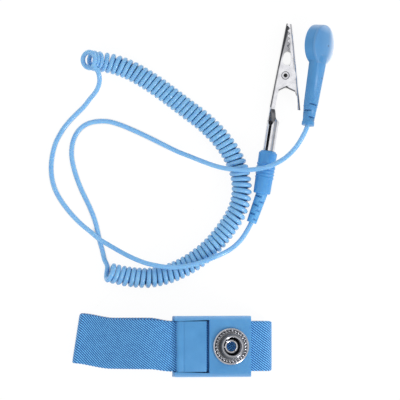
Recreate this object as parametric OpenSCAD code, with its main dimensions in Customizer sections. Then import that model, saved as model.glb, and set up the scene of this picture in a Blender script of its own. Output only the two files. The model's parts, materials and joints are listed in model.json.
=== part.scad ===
// Antistatic wrist strap: an elastic wristband with a lever buckle and a snap stud,
// and a curly ground cord with a snap plug at one end and an alligator clip at the other.
// Everything lies flat on a table at z = 0, the way the strap is laid out for packing.

/* [Wristband] */
// Width of the elastic band
band_w = 20; // [17:0.2:22]
// Thickness of the elastic band
band_t = 1.5; // [1:0.1:1.8]
// Length of the flattened loop from fold to fold
loop_l = 78.2; // [72:0.5:84]
// Centre-line radius of the tight fold away from the buckle
fold_r = 1.5; // [1.2:0.1:2]
// Centre-line radius of the round fold beside the buckle
near_fold_r = 3.6; // [3.3:0.1:5]
// How far the loop reaches past the buckle
fold_overhang = 8.2; // [7.4:0.1:10]

/* [Buckle] */
// Length of the buckle along the band
buckle_l = 31.2; // [29:0.2:34]
// Width of each side rail
rail_w = 1.95; // [1.8:0.05:2.6]
// Thickness of the floor under the band
floor_t = 1.1; // [0.8:0.1:1.5]
// Thickness of the plate that carries the stud
plate_t = 2.2; // [2:0.1:2.8]
// Slope of the buckle as it lies, down towards the round fold
buckle_tilt = 14; // [8:1:18]
// Edge of the buckle to the lever's pivot
pivot_inset = 1.9; // [1.7:0.1:2.6]
// Gap between the lever's free end and the stud plate
lever_gap = 1; // [0.4:0.1:1.5]
// Thickness of the lever's flap
lever_t = 1.6; // [1.3:0.1:1.9]
// Diameter of the lever's trunnions
trunnion_d = 1.4; // [1.2:0.1:1.6]
// Edge of the buckle to the edge of the stud plate
plate_inset = 14.1; // [13:0.1:14.8]
// Edge of the buckle to the stud's centre
stud_inset = 22.8; // [22.5:0.1:23.2]
// Thickness of the metal contact plate
contact_t = 0.4; // [0.3:0.1:0.6]
// Length of the metal contact plate
contact_l = 23; // [21:0.5:25]
// Width of the metal contact plate
contact_w = 14; // [11:0.5:17]

/* [Snap stud] */
// Diameter of the stud's wall
stud_d = 9.8; // [9.4:0.1:10.2]
// Height of the stud above the plate
stud_h = 3.6; // [3:0.1:4.2]
// Diameter of the stud's roped flange
flange_d = 14.8; // [13.5:0.1:15.2]
// Outer diameter of the eyelet that rivets the stud
eyelet_d = 4.4; // [3.8:0.1:4.8]
// Bore of the eyelet
eyelet_bore = 3.8; // [2.8:0.1:3.9]

/* [Snap plug] */
// Diameter of the plug's round head
head_d = 16.1; // [15:0.1:17]
// Thickness of the plug's round head at its rim
head_t = 5.2; // [5:0.1:5.8]
// Head centre to the cord end of the plug
plug_l = 33; // [32:0.1:36]
// Radial clearance between the socket and a stud
snap_clear = 0.05; // [0.03:0.01:0.08]
// Depth of the socket
socket_depth = 3; // [2.6:0.1:3.2]
// Wall of the socket
socket_wall = 1.15; // [1.05:0.05:1.3]
// Diameter of the resistor in the neck
resistor_d = 2.3; // [1.8:0.1:2.6]
// Length of the resistor in the neck
resistor_l = 6.2; // [5:0.1:7]

/* [Cord] */
// Diameter of the cord
cord_d = 1.9; // [1.6:0.05:1.95]
// Outer diameter of the curly stretch
coil_od = 8.2; // [7.8:0.1:8.3]
// Whole curls in the curly stretch
coil_turns = 62; // [50:1:62]

/* [Handle] */
// Diameter of the handle at the clip end
handle_d = 7.4; // [6.9:0.1:7.6]
// Diameter of the handle at the cord end
handle_end_d = 6.8; // [6.4:0.1:7]
// Length of the handle
handle_l = 17.3; // [16:0.1:19]
// Raised grip rings on the handle
grip_rings = 5; // [3:1:6]
// Diameter of the cord boot at the handle
boot_d = 4.7; // [4.4:0.1:4.8]
// Diameter of the cord boot at its tip
boot_tip_d = 4; // [3.6:0.1:4.4]
// Length of the cord boot outside the handle
boot_l = 12.2; // [11:0.1:13]
// Diameter of the banana pin
pin_d = 4; // [3.6:0.1:4.2]
// Length of the banana pin ahead of the handle
pin_l = 10.2; // [9.5:0.1:10.8]

/* [Alligator clip] */
// Pivot to the tip of the jaws
jaw_l = 20.6; // [19:0.1:22]
// Width of the clip across its ears
clip_w = 6.8; // [6.4:0.1:7.4]
// Thickness of the clip's sheet metal
sheet_t = 0.35; // [0.3:0.05:0.4]
// Teeth along each edge of a jaw
tooth_count = 5; // [3:1:5]
// Pitch of the teeth
tooth_pitch = 2; // [1.7:0.05:2]
// Height of the teeth
tooth_h = 1.1; // [0.6:0.1:1.1]
// Length of the barrel that plugs onto the banana pin
barrel_l = 11.9; // [11:0.1:13]
// Outer diameter of the hollow pivot rivet
rivet_d = 2.6; // [2.2:0.1:2.8]
// Diameter of the spring wire
spring_wire = 0.6; // [0.5:0.05:0.65]

/* [Hidden] */
$fn = 64;
facet_fn = 32;
eps = 0.01;

// Clearances
seat_clear = 0.05;
run_clear = 0.05;
slide_clear = 0.03;
move_gap = 0.15;

// Colours
blue = [0.30, 0.56, 0.82];
cord_blue = [0.45, 0.69, 0.90];
band_blue = [0.25, 0.53, 0.82];
nickel = [0.78, 0.77, 0.76];
brass_tone = [0.80, 0.70, 0.42];
tan_body = [0.85, 0.74, 0.55];

// Where the three groups lie on the table
buckle_pos = [2.85, -58.3];
plug_pos = [46.4, 61.9, 8.1];
plug_yaw = -8.35;
plug_pitch = -10;
plug_roll = 60.5;
clip_pos = [32.9, 49.7, 3.95];
clip_tilt = 9;

// Heights of the buckle's layers above its underside
channel_z = floor_t;
channel_clear = 0.2;
plate_z = channel_z + band_t + channel_clear;
top_z = plate_z + plate_t;
buckle_w = band_w + 2*channel_clear + 2*rail_w;
stud_x = stud_inset - buckle_l/2;

// Lever
barrel_r = plate_t/2;
pivot_x = pivot_inset - buckle_l/2;
pivot_z = top_z - barrel_r;
lever_l = plate_inset - pivot_inset - lever_gap;
lever_w = band_w + 2*channel_clear - 2*move_gap;
trunnion_l = 1.3;

// Elastic band: the loop's centre line in the plane of its length and height
channel_mid = channel_z + (band_t + channel_clear)/2;
buckle_end_x = buckle_pos[0] + buckle_l/2*cos(buckle_tilt) + top_z*sin(buckle_tilt);
loop_x1 = buckle_end_x + fold_overhang;
loop_x0 = loop_x1 - loop_l;
lower_z = band_t/2;
right_c = [loop_x1 - band_t/2 - near_fold_r, lower_z + near_fold_r];
buckle_z = ((right_c[0] - buckle_pos[0])*sin(buckle_tilt) + right_c[1]*cos(buckle_tilt) + near_fold_r
    - channel_mid)/cos(buckle_tilt);
left_x = loop_x0 + band_t/2 + fold_r;
left_z = lower_z + 2*fold_r;
anchor_x = stud_x - eyelet_d;
tail_x = anchor_x - 1;
function channel_at(x) = [buckle_pos[0] + x*cos(buckle_tilt) + channel_mid*sin(buckle_tilt),
    buckle_z - x*sin(buckle_tilt) + channel_mid*cos(buckle_tilt)];
hump_start = [left_x, left_z];
hump_end = channel_at(-buckle_l/2 - 0.8);
hump_pull = 36;
hump_rise = 12;
// The soft end of the loop drifts sideways, its fold lies askew and its lower layer peeps out
near_drift = 0.9;
near_l = 9;
far_drift = 2;
far_l = 24;
fold_skew = 8.8;
peep = 0.35;

// Snap stud and eyelet
stud_r = stud_d/2;
stud_metal = 0.45;
stud_roll_r = 0.65;
stud_groove = 0.3;
eyelet_r = eyelet_d/2;
eyelet_hole_r = eyelet_r + seat_clear;
eyelet_flange = 0.6;
eyelet_flange_t = 0.3;

// Snap plug, in its own frame: y runs from the cord to the head, z leaves its closed face
plug_axis = [-sin(plug_yaw)*cos(plug_pitch), cos(plug_yaw)*cos(plug_pitch), sin(plug_pitch)];
socket_r = stud_r + snap_clear;
socket_or = socket_r + socket_wall;
socket_top = 0.4;
socket_z = -head_t/2;
socket_end_z = socket_z + socket_depth + socket_top;
tab_l = 1.6;
tab_w = 1.2;
tab_t = 0.7;
tab_y = socket_or + tab_l;
wire_d = 0.6;
resistor_y = tab_y + 3;
cord_in = 6;
neck_y = 25.4;

// Clip, in its own frame: y runs from the pivot to the tip, z along the pivot
clip_axis = [sin(clip_tilt), cos(clip_tilt), 0];
clip_across = [cos(clip_tilt), -sin(clip_tilt), 0];
barrel_x = -1.96;
bite_x = -1.75;
bite_slope = 0.135;
bite_gap = 0.16;
teeth_top = jaw_l - 0.8;
teeth_y = teeth_top - tooth_count*tooth_pitch;
ear_r = 4.2;
inner_ear_r = 2.5;
bend_r = 0.8;
lower_back_x = -3.6;
lower_back_tilt = 2.25;
upper_back_x = 4.75;
upper_back_tilt = 14.6;
upper_w = clip_w - 2*sheet_t - 2*move_gap;
tail_y = -14;
tail_rim = -2.1;
barrel_bore_r = pin_d/2 + slide_clear;
barrel_or = barrel_bore_r + sheet_t;
barrel_y = -18.7;
seam_turn = 22;
rivet_r = rivet_d/2;
rivet_head_r = rivet_r + 0.4;
rivet_head_t = 0.4;

// Handle, along the clip's barrel
grip_y = barrel_y - barrel_l - move_gap;
wall_front = 1.5;
lip_l = 3.3;
cavity_r = boot_d/2 + 0.3;
boot_flange_t = 1.2;
collar_t = 1.5;
solder_l = 3.5;
boot_bend = 10.6;
boot_dip = 3;
boot_cord_in = 4;
handle_rear_y = grip_y - handle_l;
boot_dir = cos(boot_dip)*(-sin(boot_bend)*clip_across - cos(boot_bend)*clip_axis)
    + [0, 0, -sin(boot_dip)];
boot_root = clip_pos + barrel_x*clip_across + handle_rear_y*clip_axis;
boot_tip = boot_root + boot_l*boot_dir;
plug_tip = plug_pos - plug_l*plug_axis;

// Centre line of the curly stretch, from the clip lead's end to the snap lead's end
coil_route = [[-45.8, 55.9, 9.9], [-44.4, 55.7, 7.7], [-42.5, 55.4, 5.95], [-40.2, 55.1, 4.8],
    [-36.8, 54.5, 4.2], [-33, 53.4, 4.15], [-27.6, 51.1, 4.15], [-20.4, 46.8, 4.15], [-13.2, 41.6, 4.15],
    [-6.4, 36.4, 4.15], [0.4, 31.2, 4.15], [6.8, 24.8, 4.15], [11.6, 18, 4.15], [14.6, 10.8, 4.15],
    [15.4, 3.2, 4.15], [13.6, -4.4, 4.15], [9.2, -11.6, 4.15], [3.6, -18.4, 4.15], [-3.6, -24.4, 4.15],
    [-12, -28.8, 4.15], [-20.8, -31, 4.15], [-28.6, -30.8, 4.15], [-33.6, -29.9, 4.35], [-37.9, -28.8, 5.2]];

// Free stretch from the curls to the clip's boot
clip_route = [[-41.9, 51.2, 10.9], [-41.3, 48.8, 9.7], [-41.4, 46.6, 8], [-42.1, 44.6, 6.1],
    [-43.3, 42.6, 4.3], [-45.2, 40.4, 2.7], [-47.8, 37.1, 1.5], [-50.8, 34.2, 1], [-54, 30.8, 1],
    [-56.5, 27.4, 1], [-59.3, 21.8, 1], [-60.7, 14.3, 1], [-60.2, 7.6, 1], [-58.1, 2, 1],
    [-54.1, -3.9, 1], [-49.4, -9, 1.6], [-44.6, -13, 2.7], [-41.5, -15.6, 3.4], [-36.7, -18.5, 4.4],
    [-32.5, -20.9, 5.6], [-27.9, -23.2, 7], [-23.3, -25, 8.3], [-19.2, -26, 9.1],
    [-14.8, -26.7, 9.4], [-10.4, -26.8, 9.5], [-5.9, -26.2, 9.5], [-1.3, -25, 9.4],
    [2.8, -23.5, 9.2], [6.4, -22, 8.6], [10.1, -20.2, 7.4], [13.2, -17.9, 6], [16.2, -14.5, 4.5]];

// Free stretch from the curls to the snap plug
snap_route = [[-39.4, -23.8, 1.3], [-40.3, -20, 1], [-41.4, -16, 1], [-43, -9, 1], [-45.4, -2.7, 1],
    [-48.6, 4, 1], [-51, 10.4, 1], [-52.4, 16.3, 1], [-52.5, 20.6, 1], [-51.6, 24.6, 1],
    [-49.4, 28.2, 1], [-46.2, 30.5, 1], [-42.4, 31.4, 1], [-38, 31.4, 1], [-33.2, 30.1, 1],
    [-27.2, 27.6, 1], [-21.2, 24.8, 1], [-15.2, 21.8, 1.4], [-10, 19.3, 2.3], [-5.2, 17.4, 3.6],
    [-0.2, 15.4, 5.3], [4.8, 13.6, 7.2], [8.4, 12.7, 8.5], [11.4, 12.3, 9.3], [16.4, 12, 9.6],
    [21.3, 12.3, 9.6], [26.3, 13.4, 9.8], [31.3, 15.8, 10.8], [35.3, 19.1, 12.4], [38.6, 23.4, 13.9]];

// Vectors and curves
function unit(v) = v/norm(v);
function smooth(f) = f*f*(3 - 2*f);
function arc(c, r, a0, a1, n) =
    [for (i = [0:n]) let (a = a0 + (a1 - a0)*i/n) [c[0] + r*cos(a), c[1] + r*sin(a)]];

// A smooth curve through a route's points; its first and last points only steer the ends
function curve_at(p, t) =
    let (i = max(0, min(floor(t), len(p) - 4)), f = t - i, a = p[i], b = p[i + 1], c = p[i + 2], d = p[i + 3])
    b + 0.5*f*((c - a) + f*((2*a - 5*b + 4*c - d) + f*(3*b - a - 3*c + d)));
function curve_dir(p, t) = unit(curve_at(p, t + 0.02) - curve_at(p, t - 0.02));
function steered(p) = concat([2*p[0] - p[1]], p, [2*p[len(p) - 1] - p[len(p) - 2]]);
function running_sum(v) = [for (i = 0, s = 0; i <= len(v); s = s + (i < len(v) ? v[i] : 0), i = i + 1) s];

// Rings of a round tube, from centres and directions
function round_ring(c, e1, e2, r, sides) =
    [for (j = [0:sides - 1]) let (a = 360*j/sides) c + r*(cos(a)*e1 + sin(a)*e2)];
function level_ring(c, dir, r, sides) =
    let (e1 = unit(cross([0, 0, 1], dir))) round_ring(c, e1, cross(dir, e1), r, sides);

// A closed solid through rings of equally many points
module skin(rings) {
    n = len(rings);
    m = len(rings[0]);
    sides = [for (i = [0:n - 2]) for (j = [0:m - 1]) let (k = (j + 1)%m)
        each [[i*m + j, (i + 1)*m + j, (i + 1)*m + k], [i*m + j, (i + 1)*m + k, i*m + k]]];
    first = [for (j = [1:m - 2]) [0, j, j + 1]];
    last = [for (j = [1:m - 2]) [(n - 1)*m, (n - 1)*m + j + 1, (n - 1)*m + j]];
    polyhedron([for (r = rings) each r], concat(first, sides, last), convexity = 10);
}

// Curly stretch: the curls share out the length of the curve's inner side, so that they stay apart
coil_r = (coil_od - cord_d)/2;
coil_curve = steered(coil_route);
coil_rounds = coil_turns + 0.5;
curl_rings = 8;
fine = 16;
coil_steps = [for (i = [0:(len(coil_route) - 1)*fine]) i/fine];
coil_spine = [for (t = coil_steps) curve_at(coil_curve, t)];
function turn_between(a, b) = acos(min(1, unit(a)*unit(b)));
inner_steps = [for (i = [1:len(coil_spine) - 1])
    let (now = coil_spine[i] - coil_spine[i - 1], past = i > 1 ? coil_spine[i - 1] - coil_spine[i - 2] : now)
    norm(now) - coil_r*turn_between(past, now)*PI/180];
inner_lengths = running_sum(inner_steps);
inner_table = [for (i = [0:len(coil_steps) - 1]) [inner_lengths[i], coil_steps[i]]];
inner_total = inner_lengths[len(coil_steps) - 1];
function coil_frame(f) =
    let (t = lookup(f*inner_total, inner_table), dir = curve_dir(coil_curve, t),
        side = unit(cross([0, 0, 1], dir)), up = cross(dir, side), a = 90 - 360*coil_rounds*f,
        out = cos(a)*side + sin(a)*up)
    [curve_at(coil_curve, t) + coil_r*out, out];
function coil_point(f) = coil_frame(f)[0];
bit = 0.00001;
function coil_dir(f) = unit(coil_point(f + bit) - coil_point(f - bit));
coil_count = coil_rounds*curl_rings;
coil_in = coil_dir(bit);
coil_out = coil_dir(1 - bit);
coil_start = coil_point(0) - cord_d*coil_in;
coil_end = coil_point(1) + cord_d*coil_out;
function coil_ring(c, f) =
    let (dir = coil_dir(min(max(f, bit), 1 - bit)), out = coil_frame(f)[1], e1 = unit(out - (out*dir)*dir))
    round_ring(c, e1, cross(dir, e1), cord_d/2, 6);
coil_points = [for (k = [0:coil_count]) coil_point(k/coil_count)];
function tube_gap(p, skip, d) =
    min([for (i = [0:len(p) - 1 - skip]) min([for (j = [i + skip:len(p) - 1]) norm(p[i] - p[j])])]) - d;
echo(least_gap_between_curls = tube_gap(coil_points, 5, cord_d));

// Free stretches: rings along the route, and straight runs into the boot and the plug
ring_step = 2.5*cord_d;
function lead_rings(p, dir0, dir1) =
    let (steps = [for (i = [0:(len(p) - 3)*fine]) i/fine], spots = [for (t = steps) curve_at(p, t)],
        lengths = running_sum([for (i = [1:len(spots) - 1]) norm(spots[i] - spots[i - 1])]),
        table = [for (i = [0:len(steps) - 1]) [lengths[i], steps[i]]],
        total = lengths[len(steps) - 1], count = round(total/ring_step))
    [for (k = [0:count]) let (t = lookup(total*k/count, table))
        level_ring(curve_at(p, t), k == 0 ? dir0 : k == count ? dir1 : curve_dir(p, t), cord_d/2, 8)];
clip_lead_curve = concat([coil_start + 4*coil_in, coil_start], clip_route,
    [boot_tip, boot_tip - 4*boot_dir]);
snap_lead_curve = concat([coil_end - 4*coil_out, coil_end], snap_route,
    [plug_tip, plug_tip + 6*plug_axis]);

// Elastic band: the loop from its riveted end, round both folds, over the hump and under the lever
function hump_at(f) =
    let (a = hump_pull*[cos(hump_rise), sin(hump_rise)], b = hump_pull*[cos(buckle_tilt), -sin(buckle_tilt)])
    (1 - smooth(f))*hump_start + smooth(f)*hump_end + f*(1 - f)*((1 - f)*a - f*b);
band_path = concat(
    [channel_at(anchor_x), channel_at(buckle_l/2)],
    arc(right_c, near_fold_r, 90 - buckle_tilt, -90, 12),
    [for (i = [1:15]) [right_c[0] + (left_x - right_c[0])*i/16, lower_z]],
    arc([left_x, lower_z + fold_r], fold_r, 270, 90, 8),
    [for (i = [1:16]) hump_at(i/16)],
    [channel_at(-buckle_l/4), channel_at(tail_x)]);
function band_ring(i) =
    let (p = band_path[i], a = band_path[max(i - 1, 0)], b = band_path[min(i + 1, len(band_path) - 1)],
        near = smooth(min(max((hump_end[0] - p[0])/near_l, 0), 1)),
        far = smooth(min(max((loop_x0 + far_l - p[0])/far_l, 0), 1)),
        low = 1 - smooth(min(max((p[1] - lower_z)/(2*fold_r), 0), 1)),
        c = [p[0], buckle_pos[1] + near_drift*near + far_drift*far + peep*low*near, p[1]],
        across = [sin(fold_skew*far), cos(fold_skew*far), 0]*band_w/2,
        dir = unit([b[0] - a[0], 0, b[1] - a[1]]), up = cross(dir, [0, 1, 0])*band_t/2)
    [c + across + up, c - across + up, c - across - up, c + across - up];

// The buckle's own frame: x along the band, z out of its top, origin under its middle
module in_buckle() {
    translate([buckle_pos[0], buckle_pos[1], buckle_z]) rotate([0, buckle_tilt, 0]) children();
}

module elastic_band() {
    color(band_blue)
    difference() {
        skin([for (i = [0:len(band_path) - 1]) band_ring(i)]);
        in_buckle() translate([stud_x, 0, 0]) cylinder(r = eyelet_hole_r, h = top_z);
    }
}

// A plate with round corners
module round_plate(l, w, r) {
    square([l - 2*r, w], center = true);
    square([l, w - 2*r], center = true);
    for (x = [-1, 1], y = [-1, 1])
        translate([x*(l/2 - r), y*(w/2 - r)]) circle(r);
}

module buckle_body() {
    corner_r = 0.4;
    bay_flare = 0.4;
    inside_w = buckle_w - 2*rail_w;
    bay_x = -buckle_l/2;
    color(blue) in_buckle()
    difference() {
        linear_extrude(top_z) round_plate(buckle_l, buckle_w, corner_r);
        // channel for the band
        translate([-buckle_l, -inside_w/2, channel_z]) cube([2*buckle_l, inside_w, plate_z - channel_z]);
        // open bay for the lever
        translate([bay_x, 0, channel_z]) linear_extrude(top_z)
            polygon([[-1, -inside_w/2], [pivot_inset + barrel_r, -inside_w/2],
                [plate_inset, -inside_w/2 - bay_flare], [plate_inset, inside_w/2 + bay_flare],
                [pivot_inset + barrel_r, inside_w/2], [-1, inside_w/2]]);
        // seats for the trunnions
        translate([pivot_x, 0, pivot_z]) rotate([90, 0, 0])
            cylinder(d = trunnion_d + 2*run_clear, h = lever_w + 2*trunnion_l + 2*move_gap, center = true);
        // hole for the eyelet, through plate and floor
        translate([stud_x, 0, -1]) cylinder(r = eyelet_hole_r, h = top_z + 2);
    }
}

module buckle_lever() {
    rib = 0.35;
    rib_pitch = 1.6;
    flap_z = top_z - lever_t;
    tip_r = 0.7;
    groove_r = 0.9;
    groove_deep = 0.2;
    color(blue) in_buckle() translate([pivot_x, 0, 0])
    difference() {
        union() {
            translate([0, 0, pivot_z]) rotate([90, 0, 0]) cylinder(r = barrel_r, h = lever_w, center = true);
            translate([0, lever_w/2, 0]) rotate([90, 0, 0]) linear_extrude(lever_w)
                polygon(concat([[0, flap_z], [lever_l - tip_r, flap_z]],
                    arc([lever_l - tip_r, flap_z + tip_r], tip_r, -90, 0, 4),
                    arc([lever_l - tip_r, top_z - tip_r], tip_r, 0, 90, 4), [[0, top_z]]));
            // ribs that bite into the band
            for (i = [1:3])
                translate([barrel_r + i*rib_pitch - rib/2, -lever_w/2, plate_z])
                    cube([rib, lever_w, flap_z - plate_z + eps]);
            translate([0, 0, pivot_z]) rotate([90, 0, 0])
                cylinder(d = trunnion_d, h = lever_w + 2*trunnion_l, center = true);
        }
        // shallow groove beside the barrel
        translate([barrel_r + 0.5, 0, top_z + groove_r - groove_deep]) rotate([90, 0, 0])
            cylinder(r = groove_r, h = lever_w + 1, center = true);
    }
}

module contact_plate() {
    contact_x = buckle_l/2 - contact_l/2 - 2.1;
    color(nickel) in_buckle()
    difference() {
        translate([contact_x, 0, -contact_t]) linear_extrude(contact_t) round_plate(contact_l, contact_w, 2);
        translate([stud_x, 0, -contact_t - 1]) cylinder(r = eyelet_hole_r, h = contact_t + 2);
    }
}

module snap_stud() {
    rim_r = 0.55;
    flange_r = flange_d/2;
    groove_h = 0.9;
    inner_r = stud_r - stud_groove - stud_metal;
    color(nickel) in_buckle() translate([stud_x, 0, top_z]) rotate_extrude()
        polygon(concat(
            [[eyelet_hole_r, 0]],
            arc([flange_r - rim_r, rim_r], rim_r, -90, 150, 10),
            [[flange_r - 3*rim_r, stud_metal], [stud_r - stud_groove, stud_metal],
            [stud_r - stud_groove, groove_h], [stud_r, groove_h + stud_groove]],
            arc([stud_r - stud_roll_r, stud_h - stud_roll_r], stud_roll_r, 0, 180, 8),
            [[inner_r, stud_h - 2*stud_roll_r], [inner_r, stud_metal], [eyelet_hole_r, stud_metal]]));
}

module stud_eyelet() {
    bore_r = eyelet_bore/2;
    rim = eyelet_r + eyelet_flange;
    seat_z = top_z + stud_metal;
    foot_z = -contact_t - eyelet_flange_t;
    roll_r = (rim - bore_r)/2;
    split_w = 0.35;
    splits = 3;
    split_turn = 65;
    color(nickel) in_buckle() translate([stud_x, 0, 0])
    difference() {
        rotate_extrude()
            polygon(concat(
                [[bore_r, foot_z], [rim, foot_z], [rim, -contact_t], [eyelet_r, -contact_t],
                [eyelet_r, seat_z], [rim, seat_z]],
                arc([bore_r + roll_r, seat_z + roll_r], roll_r, 0, 180, 8)));
        for (i = [0:splits - 1])
            rotate(split_turn + 360/splits*i) translate([bore_r + roll_r/2, -split_w/2, seat_z + roll_r/2])
                cube([eyelet_d, split_w, 2*roll_r]);
    }
}

// Snap plug
module in_plug() {
    translate(plug_pos) rotate([0, 0, plug_yaw]) rotate([plug_pitch, 0, 0]) rotate([0, plug_roll, 0])
        children();
}

// A rod along the plug, from one distance behind the head's centre to another
module plug_rod(y0, y1, r) {
    translate([0, -y0, 0]) rotate([90, 0, 0]) cylinder(r = r, h = y1 - y0);
}

// A thin slice across the plug
module plug_slice(y, z, w, t, r) {
    translate([0, -y, z]) rotate([90, 0, 0]) linear_extrude(eps) round_plate(w, t, r, $fn = facet_fn);
}

module snap_housing() {
    head_r = head_d/2;
    edge_r = 0.6;
    dome = 0.9;
    dome_r = (head_r - edge_r)*(head_r - edge_r)/(2*dome) + dome/2;
    dome_z = head_t/2 + dome - dome_r;
    dome_a = asin((head_r - edge_r)/dome_r);
    neck_w = 7.6;
    neck_over = 0.9;
    neck_in = 3.3;
    relief_r = 2.75;
    waist_r = 2.25;
    collar_l = 1.4;
    slot_w = 0.65;
    slot_pitch = 2.6;
    slot_turn = 75;
    slot_core = cord_d/2 + 0.4;
    color(blue) in_plug()
    difference() {
        union() {
            rotate_extrude() polygon(concat([[0, -head_t/2]],
                arc([head_r - edge_r, edge_r - head_t/2], edge_r, -90, 0, 4),
                arc([head_r - edge_r, head_t/2 - edge_r], edge_r, 0, 90 - dome_a, 4),
                arc([0, dome_z], dome_r, 90 - dome_a, 90, 8)));
            // neck, flush with the socket's side and raised above the closed face
            hull() {
                plug_slice(head_r - neck_in, neck_over/2, neck_w, head_t + neck_over, 2.8);
                plug_slice(neck_y, 0, 2*relief_r + 0.2, 2*relief_r, relief_r - 0.1);
            }
            hull() {
                plug_slice(neck_y - 0.8, 0, 2*relief_r, 2*relief_r, relief_r - 0.1);
                plug_slice(plug_l - collar_l, 0, 2*waist_r, 2*waist_r, waist_r - 0.1);
            }
            plug_rod(plug_l - collar_l, plug_l, waist_r + 0.25);
        }
        // staggered slots of the strain relief
        for (i = [0:2], s = [0, 180])
            translate([0, slot_w - neck_y - slot_pitch*i, 0]) rotate([0, slot_turn + s + 90*(i%2), 0])
                translate([slot_core, -slot_w/2, -relief_r]) cube([relief_r, slot_w, 2*relief_r]);
        // seat of the socket and its tab
        translate([0, 0, socket_z - 1]) cylinder(r = socket_or + seat_clear, h = socket_end_z - socket_z + 1);
        translate([-tab_w/2 - seat_clear, -tab_y - seat_clear, -tab_t/2 - seat_clear])
            cube([tab_w + 2*seat_clear, tab_y, tab_t + 2*seat_clear]);
        plug_rod(resistor_y - seat_clear, resistor_y + resistor_l + seat_clear, resistor_d/2 + 0.2);
        plug_rod(tab_y, plug_l - cord_in, wire_d/2 + seat_clear);
        plug_rod(plug_l - cord_in, plug_l + 1, cord_d/2 + slide_clear);
    }
}

module snap_socket() {
    ring_z = socket_z + 1;
    ring_h = 0.8;
    ring_deep = 0.7;
    lead_in = 0.2;
    color(nickel) in_plug()
    union() {
        rotate_extrude() polygon([[socket_r + lead_in, socket_z], [socket_or, socket_z],
            [socket_or, socket_end_z], [0, socket_end_z], [0, socket_end_z - socket_top],
            [socket_r, socket_end_z - socket_top], [socket_r, ring_z + ring_h],
            [socket_r + ring_deep, ring_z + ring_h], [socket_r + ring_deep, ring_z], [socket_r, ring_z],
            [socket_r, socket_z + lead_in]]);
        translate([-tab_w/2, -tab_y, -tab_t/2]) cube([tab_w, tab_l + socket_wall/2, tab_t]);
    }
}

module socket_spring() {
    ring_z = socket_z + 1.4;
    ring_wire = 0.6;
    color(nickel) in_plug()
    translate([0, 0, ring_z]) rotate(25) rotate_extrude(angle = 310)
        translate([socket_r + ring_wire/2 + seat_clear, 0]) circle(d = ring_wire);
}

module resistor() {
    cap_l = 1.2;
    cap = 0.12;
    color(tan_body) in_plug()
    union() {
        plug_rod(resistor_y, resistor_y + resistor_l, resistor_d/2);
        plug_rod(resistor_y, resistor_y + cap_l, resistor_d/2 + cap);
        plug_rod(resistor_y + resistor_l - cap_l, resistor_y + resistor_l, resistor_d/2 + cap);
    }
}

module resistor_lead_front() {
    color(nickel) in_plug() plug_rod(tab_y, resistor_y, wire_d/2);
}

module resistor_lead_rear() {
    color(nickel) in_plug() plug_rod(resistor_y + resistor_l, plug_l - cord_in, wire_d/2);
}

// Cord
module cord_snap_lead() {
    inner_end = level_ring(plug_tip + cord_in*plug_axis, plug_axis, cord_d/2, 8);
    color(cord_blue) skin(concat(lead_rings(snap_lead_curve, coil_out, plug_axis), [inner_end]));
}

module cord_coil() {
    color(cord_blue)
    skin(concat([coil_ring(coil_start, 0)],
        [for (k = [0:coil_count]) coil_ring(coil_points[k], k/coil_count)],
        [coil_ring(coil_end, 1)]));
}

module cord_clip_lead() {
    inner_end = level_ring(boot_tip - boot_cord_in*boot_dir, -boot_dir, cord_d/2, 8);
    color(cord_blue) skin(concat(lead_rings(clip_lead_curve, -coil_in, -boot_dir), [inner_end]));
}

// Handle and its boot
module in_clip() {
    translate(clip_pos) rotate([0, 0, -clip_tilt]) children();
}

// Along the handle, z runs from its front face to the cord
module in_grip() {
    in_clip() translate([barrel_x, grip_y, 0]) rotate([90, 0, 0]) children();
}

// Along the boot, z runs from the handle's rear face to the boot's tip
module in_boot() {
    in_clip() translate([barrel_x, handle_rear_y, 0]) rotate([0, 0, -boot_bend]) rotate([boot_dip, 0, 0])
        rotate([90, 0, 0]) children();
}

module cord_boot() {
    slots = 6;
    slot_pitch = (boot_l - 1.1)/slots;
    slot_first = 0.7*slot_pitch;
    slot_w = 0.8;
    slot_core = cord_d/2 + 0.25;
    root_r = boot_d/2;
    color(cord_blue)
    difference() {
        union() {
            in_grip() translate([0, 0, handle_l - lip_l]) cylinder(r = root_r, h = lip_l);
            in_grip() translate([0, 0, handle_l - lip_l - boot_flange_t])
                cylinder(r = cavity_r - seat_clear, h = boot_flange_t);
            in_grip() translate([0, 0, handle_l]) sphere(root_r);
            in_boot() cylinder(r1 = root_r, r2 = boot_tip_d/2, h = boot_l);
        }
        // staggered slots that let the boot bend
        in_boot() for (i = [0:slots - 1], s = [0, 180])
            translate([0, 0, slot_first + slot_pitch*i]) rotate(135 + s + 90*(i%2))
                translate([slot_core, -boot_d/2, -slot_w/2]) cube([boot_d, boot_d, slot_w]);
        in_boot() translate([0, 0, boot_l - boot_cord_in])
            cylinder(r = cord_d/2 + slide_clear, h = boot_cord_in + 1);
        conductor_run(wire_d/2 + seat_clear);
    }
}

// The bare conductor from the cord's end, round the boot's bend, to the pin's solder tail
module conductor_run(r) {
    in_boot() cylinder(r = r, h = boot_l - boot_cord_in);
    in_boot() sphere(1.2*r);
    in_grip() translate([0, 0, wall_front + collar_t + solder_l])
        cylinder(r = r, h = handle_l - wall_front - collar_t - solder_l);
}

module clip_conductor() {
    color(brass_tone) conductor_run(wire_d/2);
}

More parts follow.
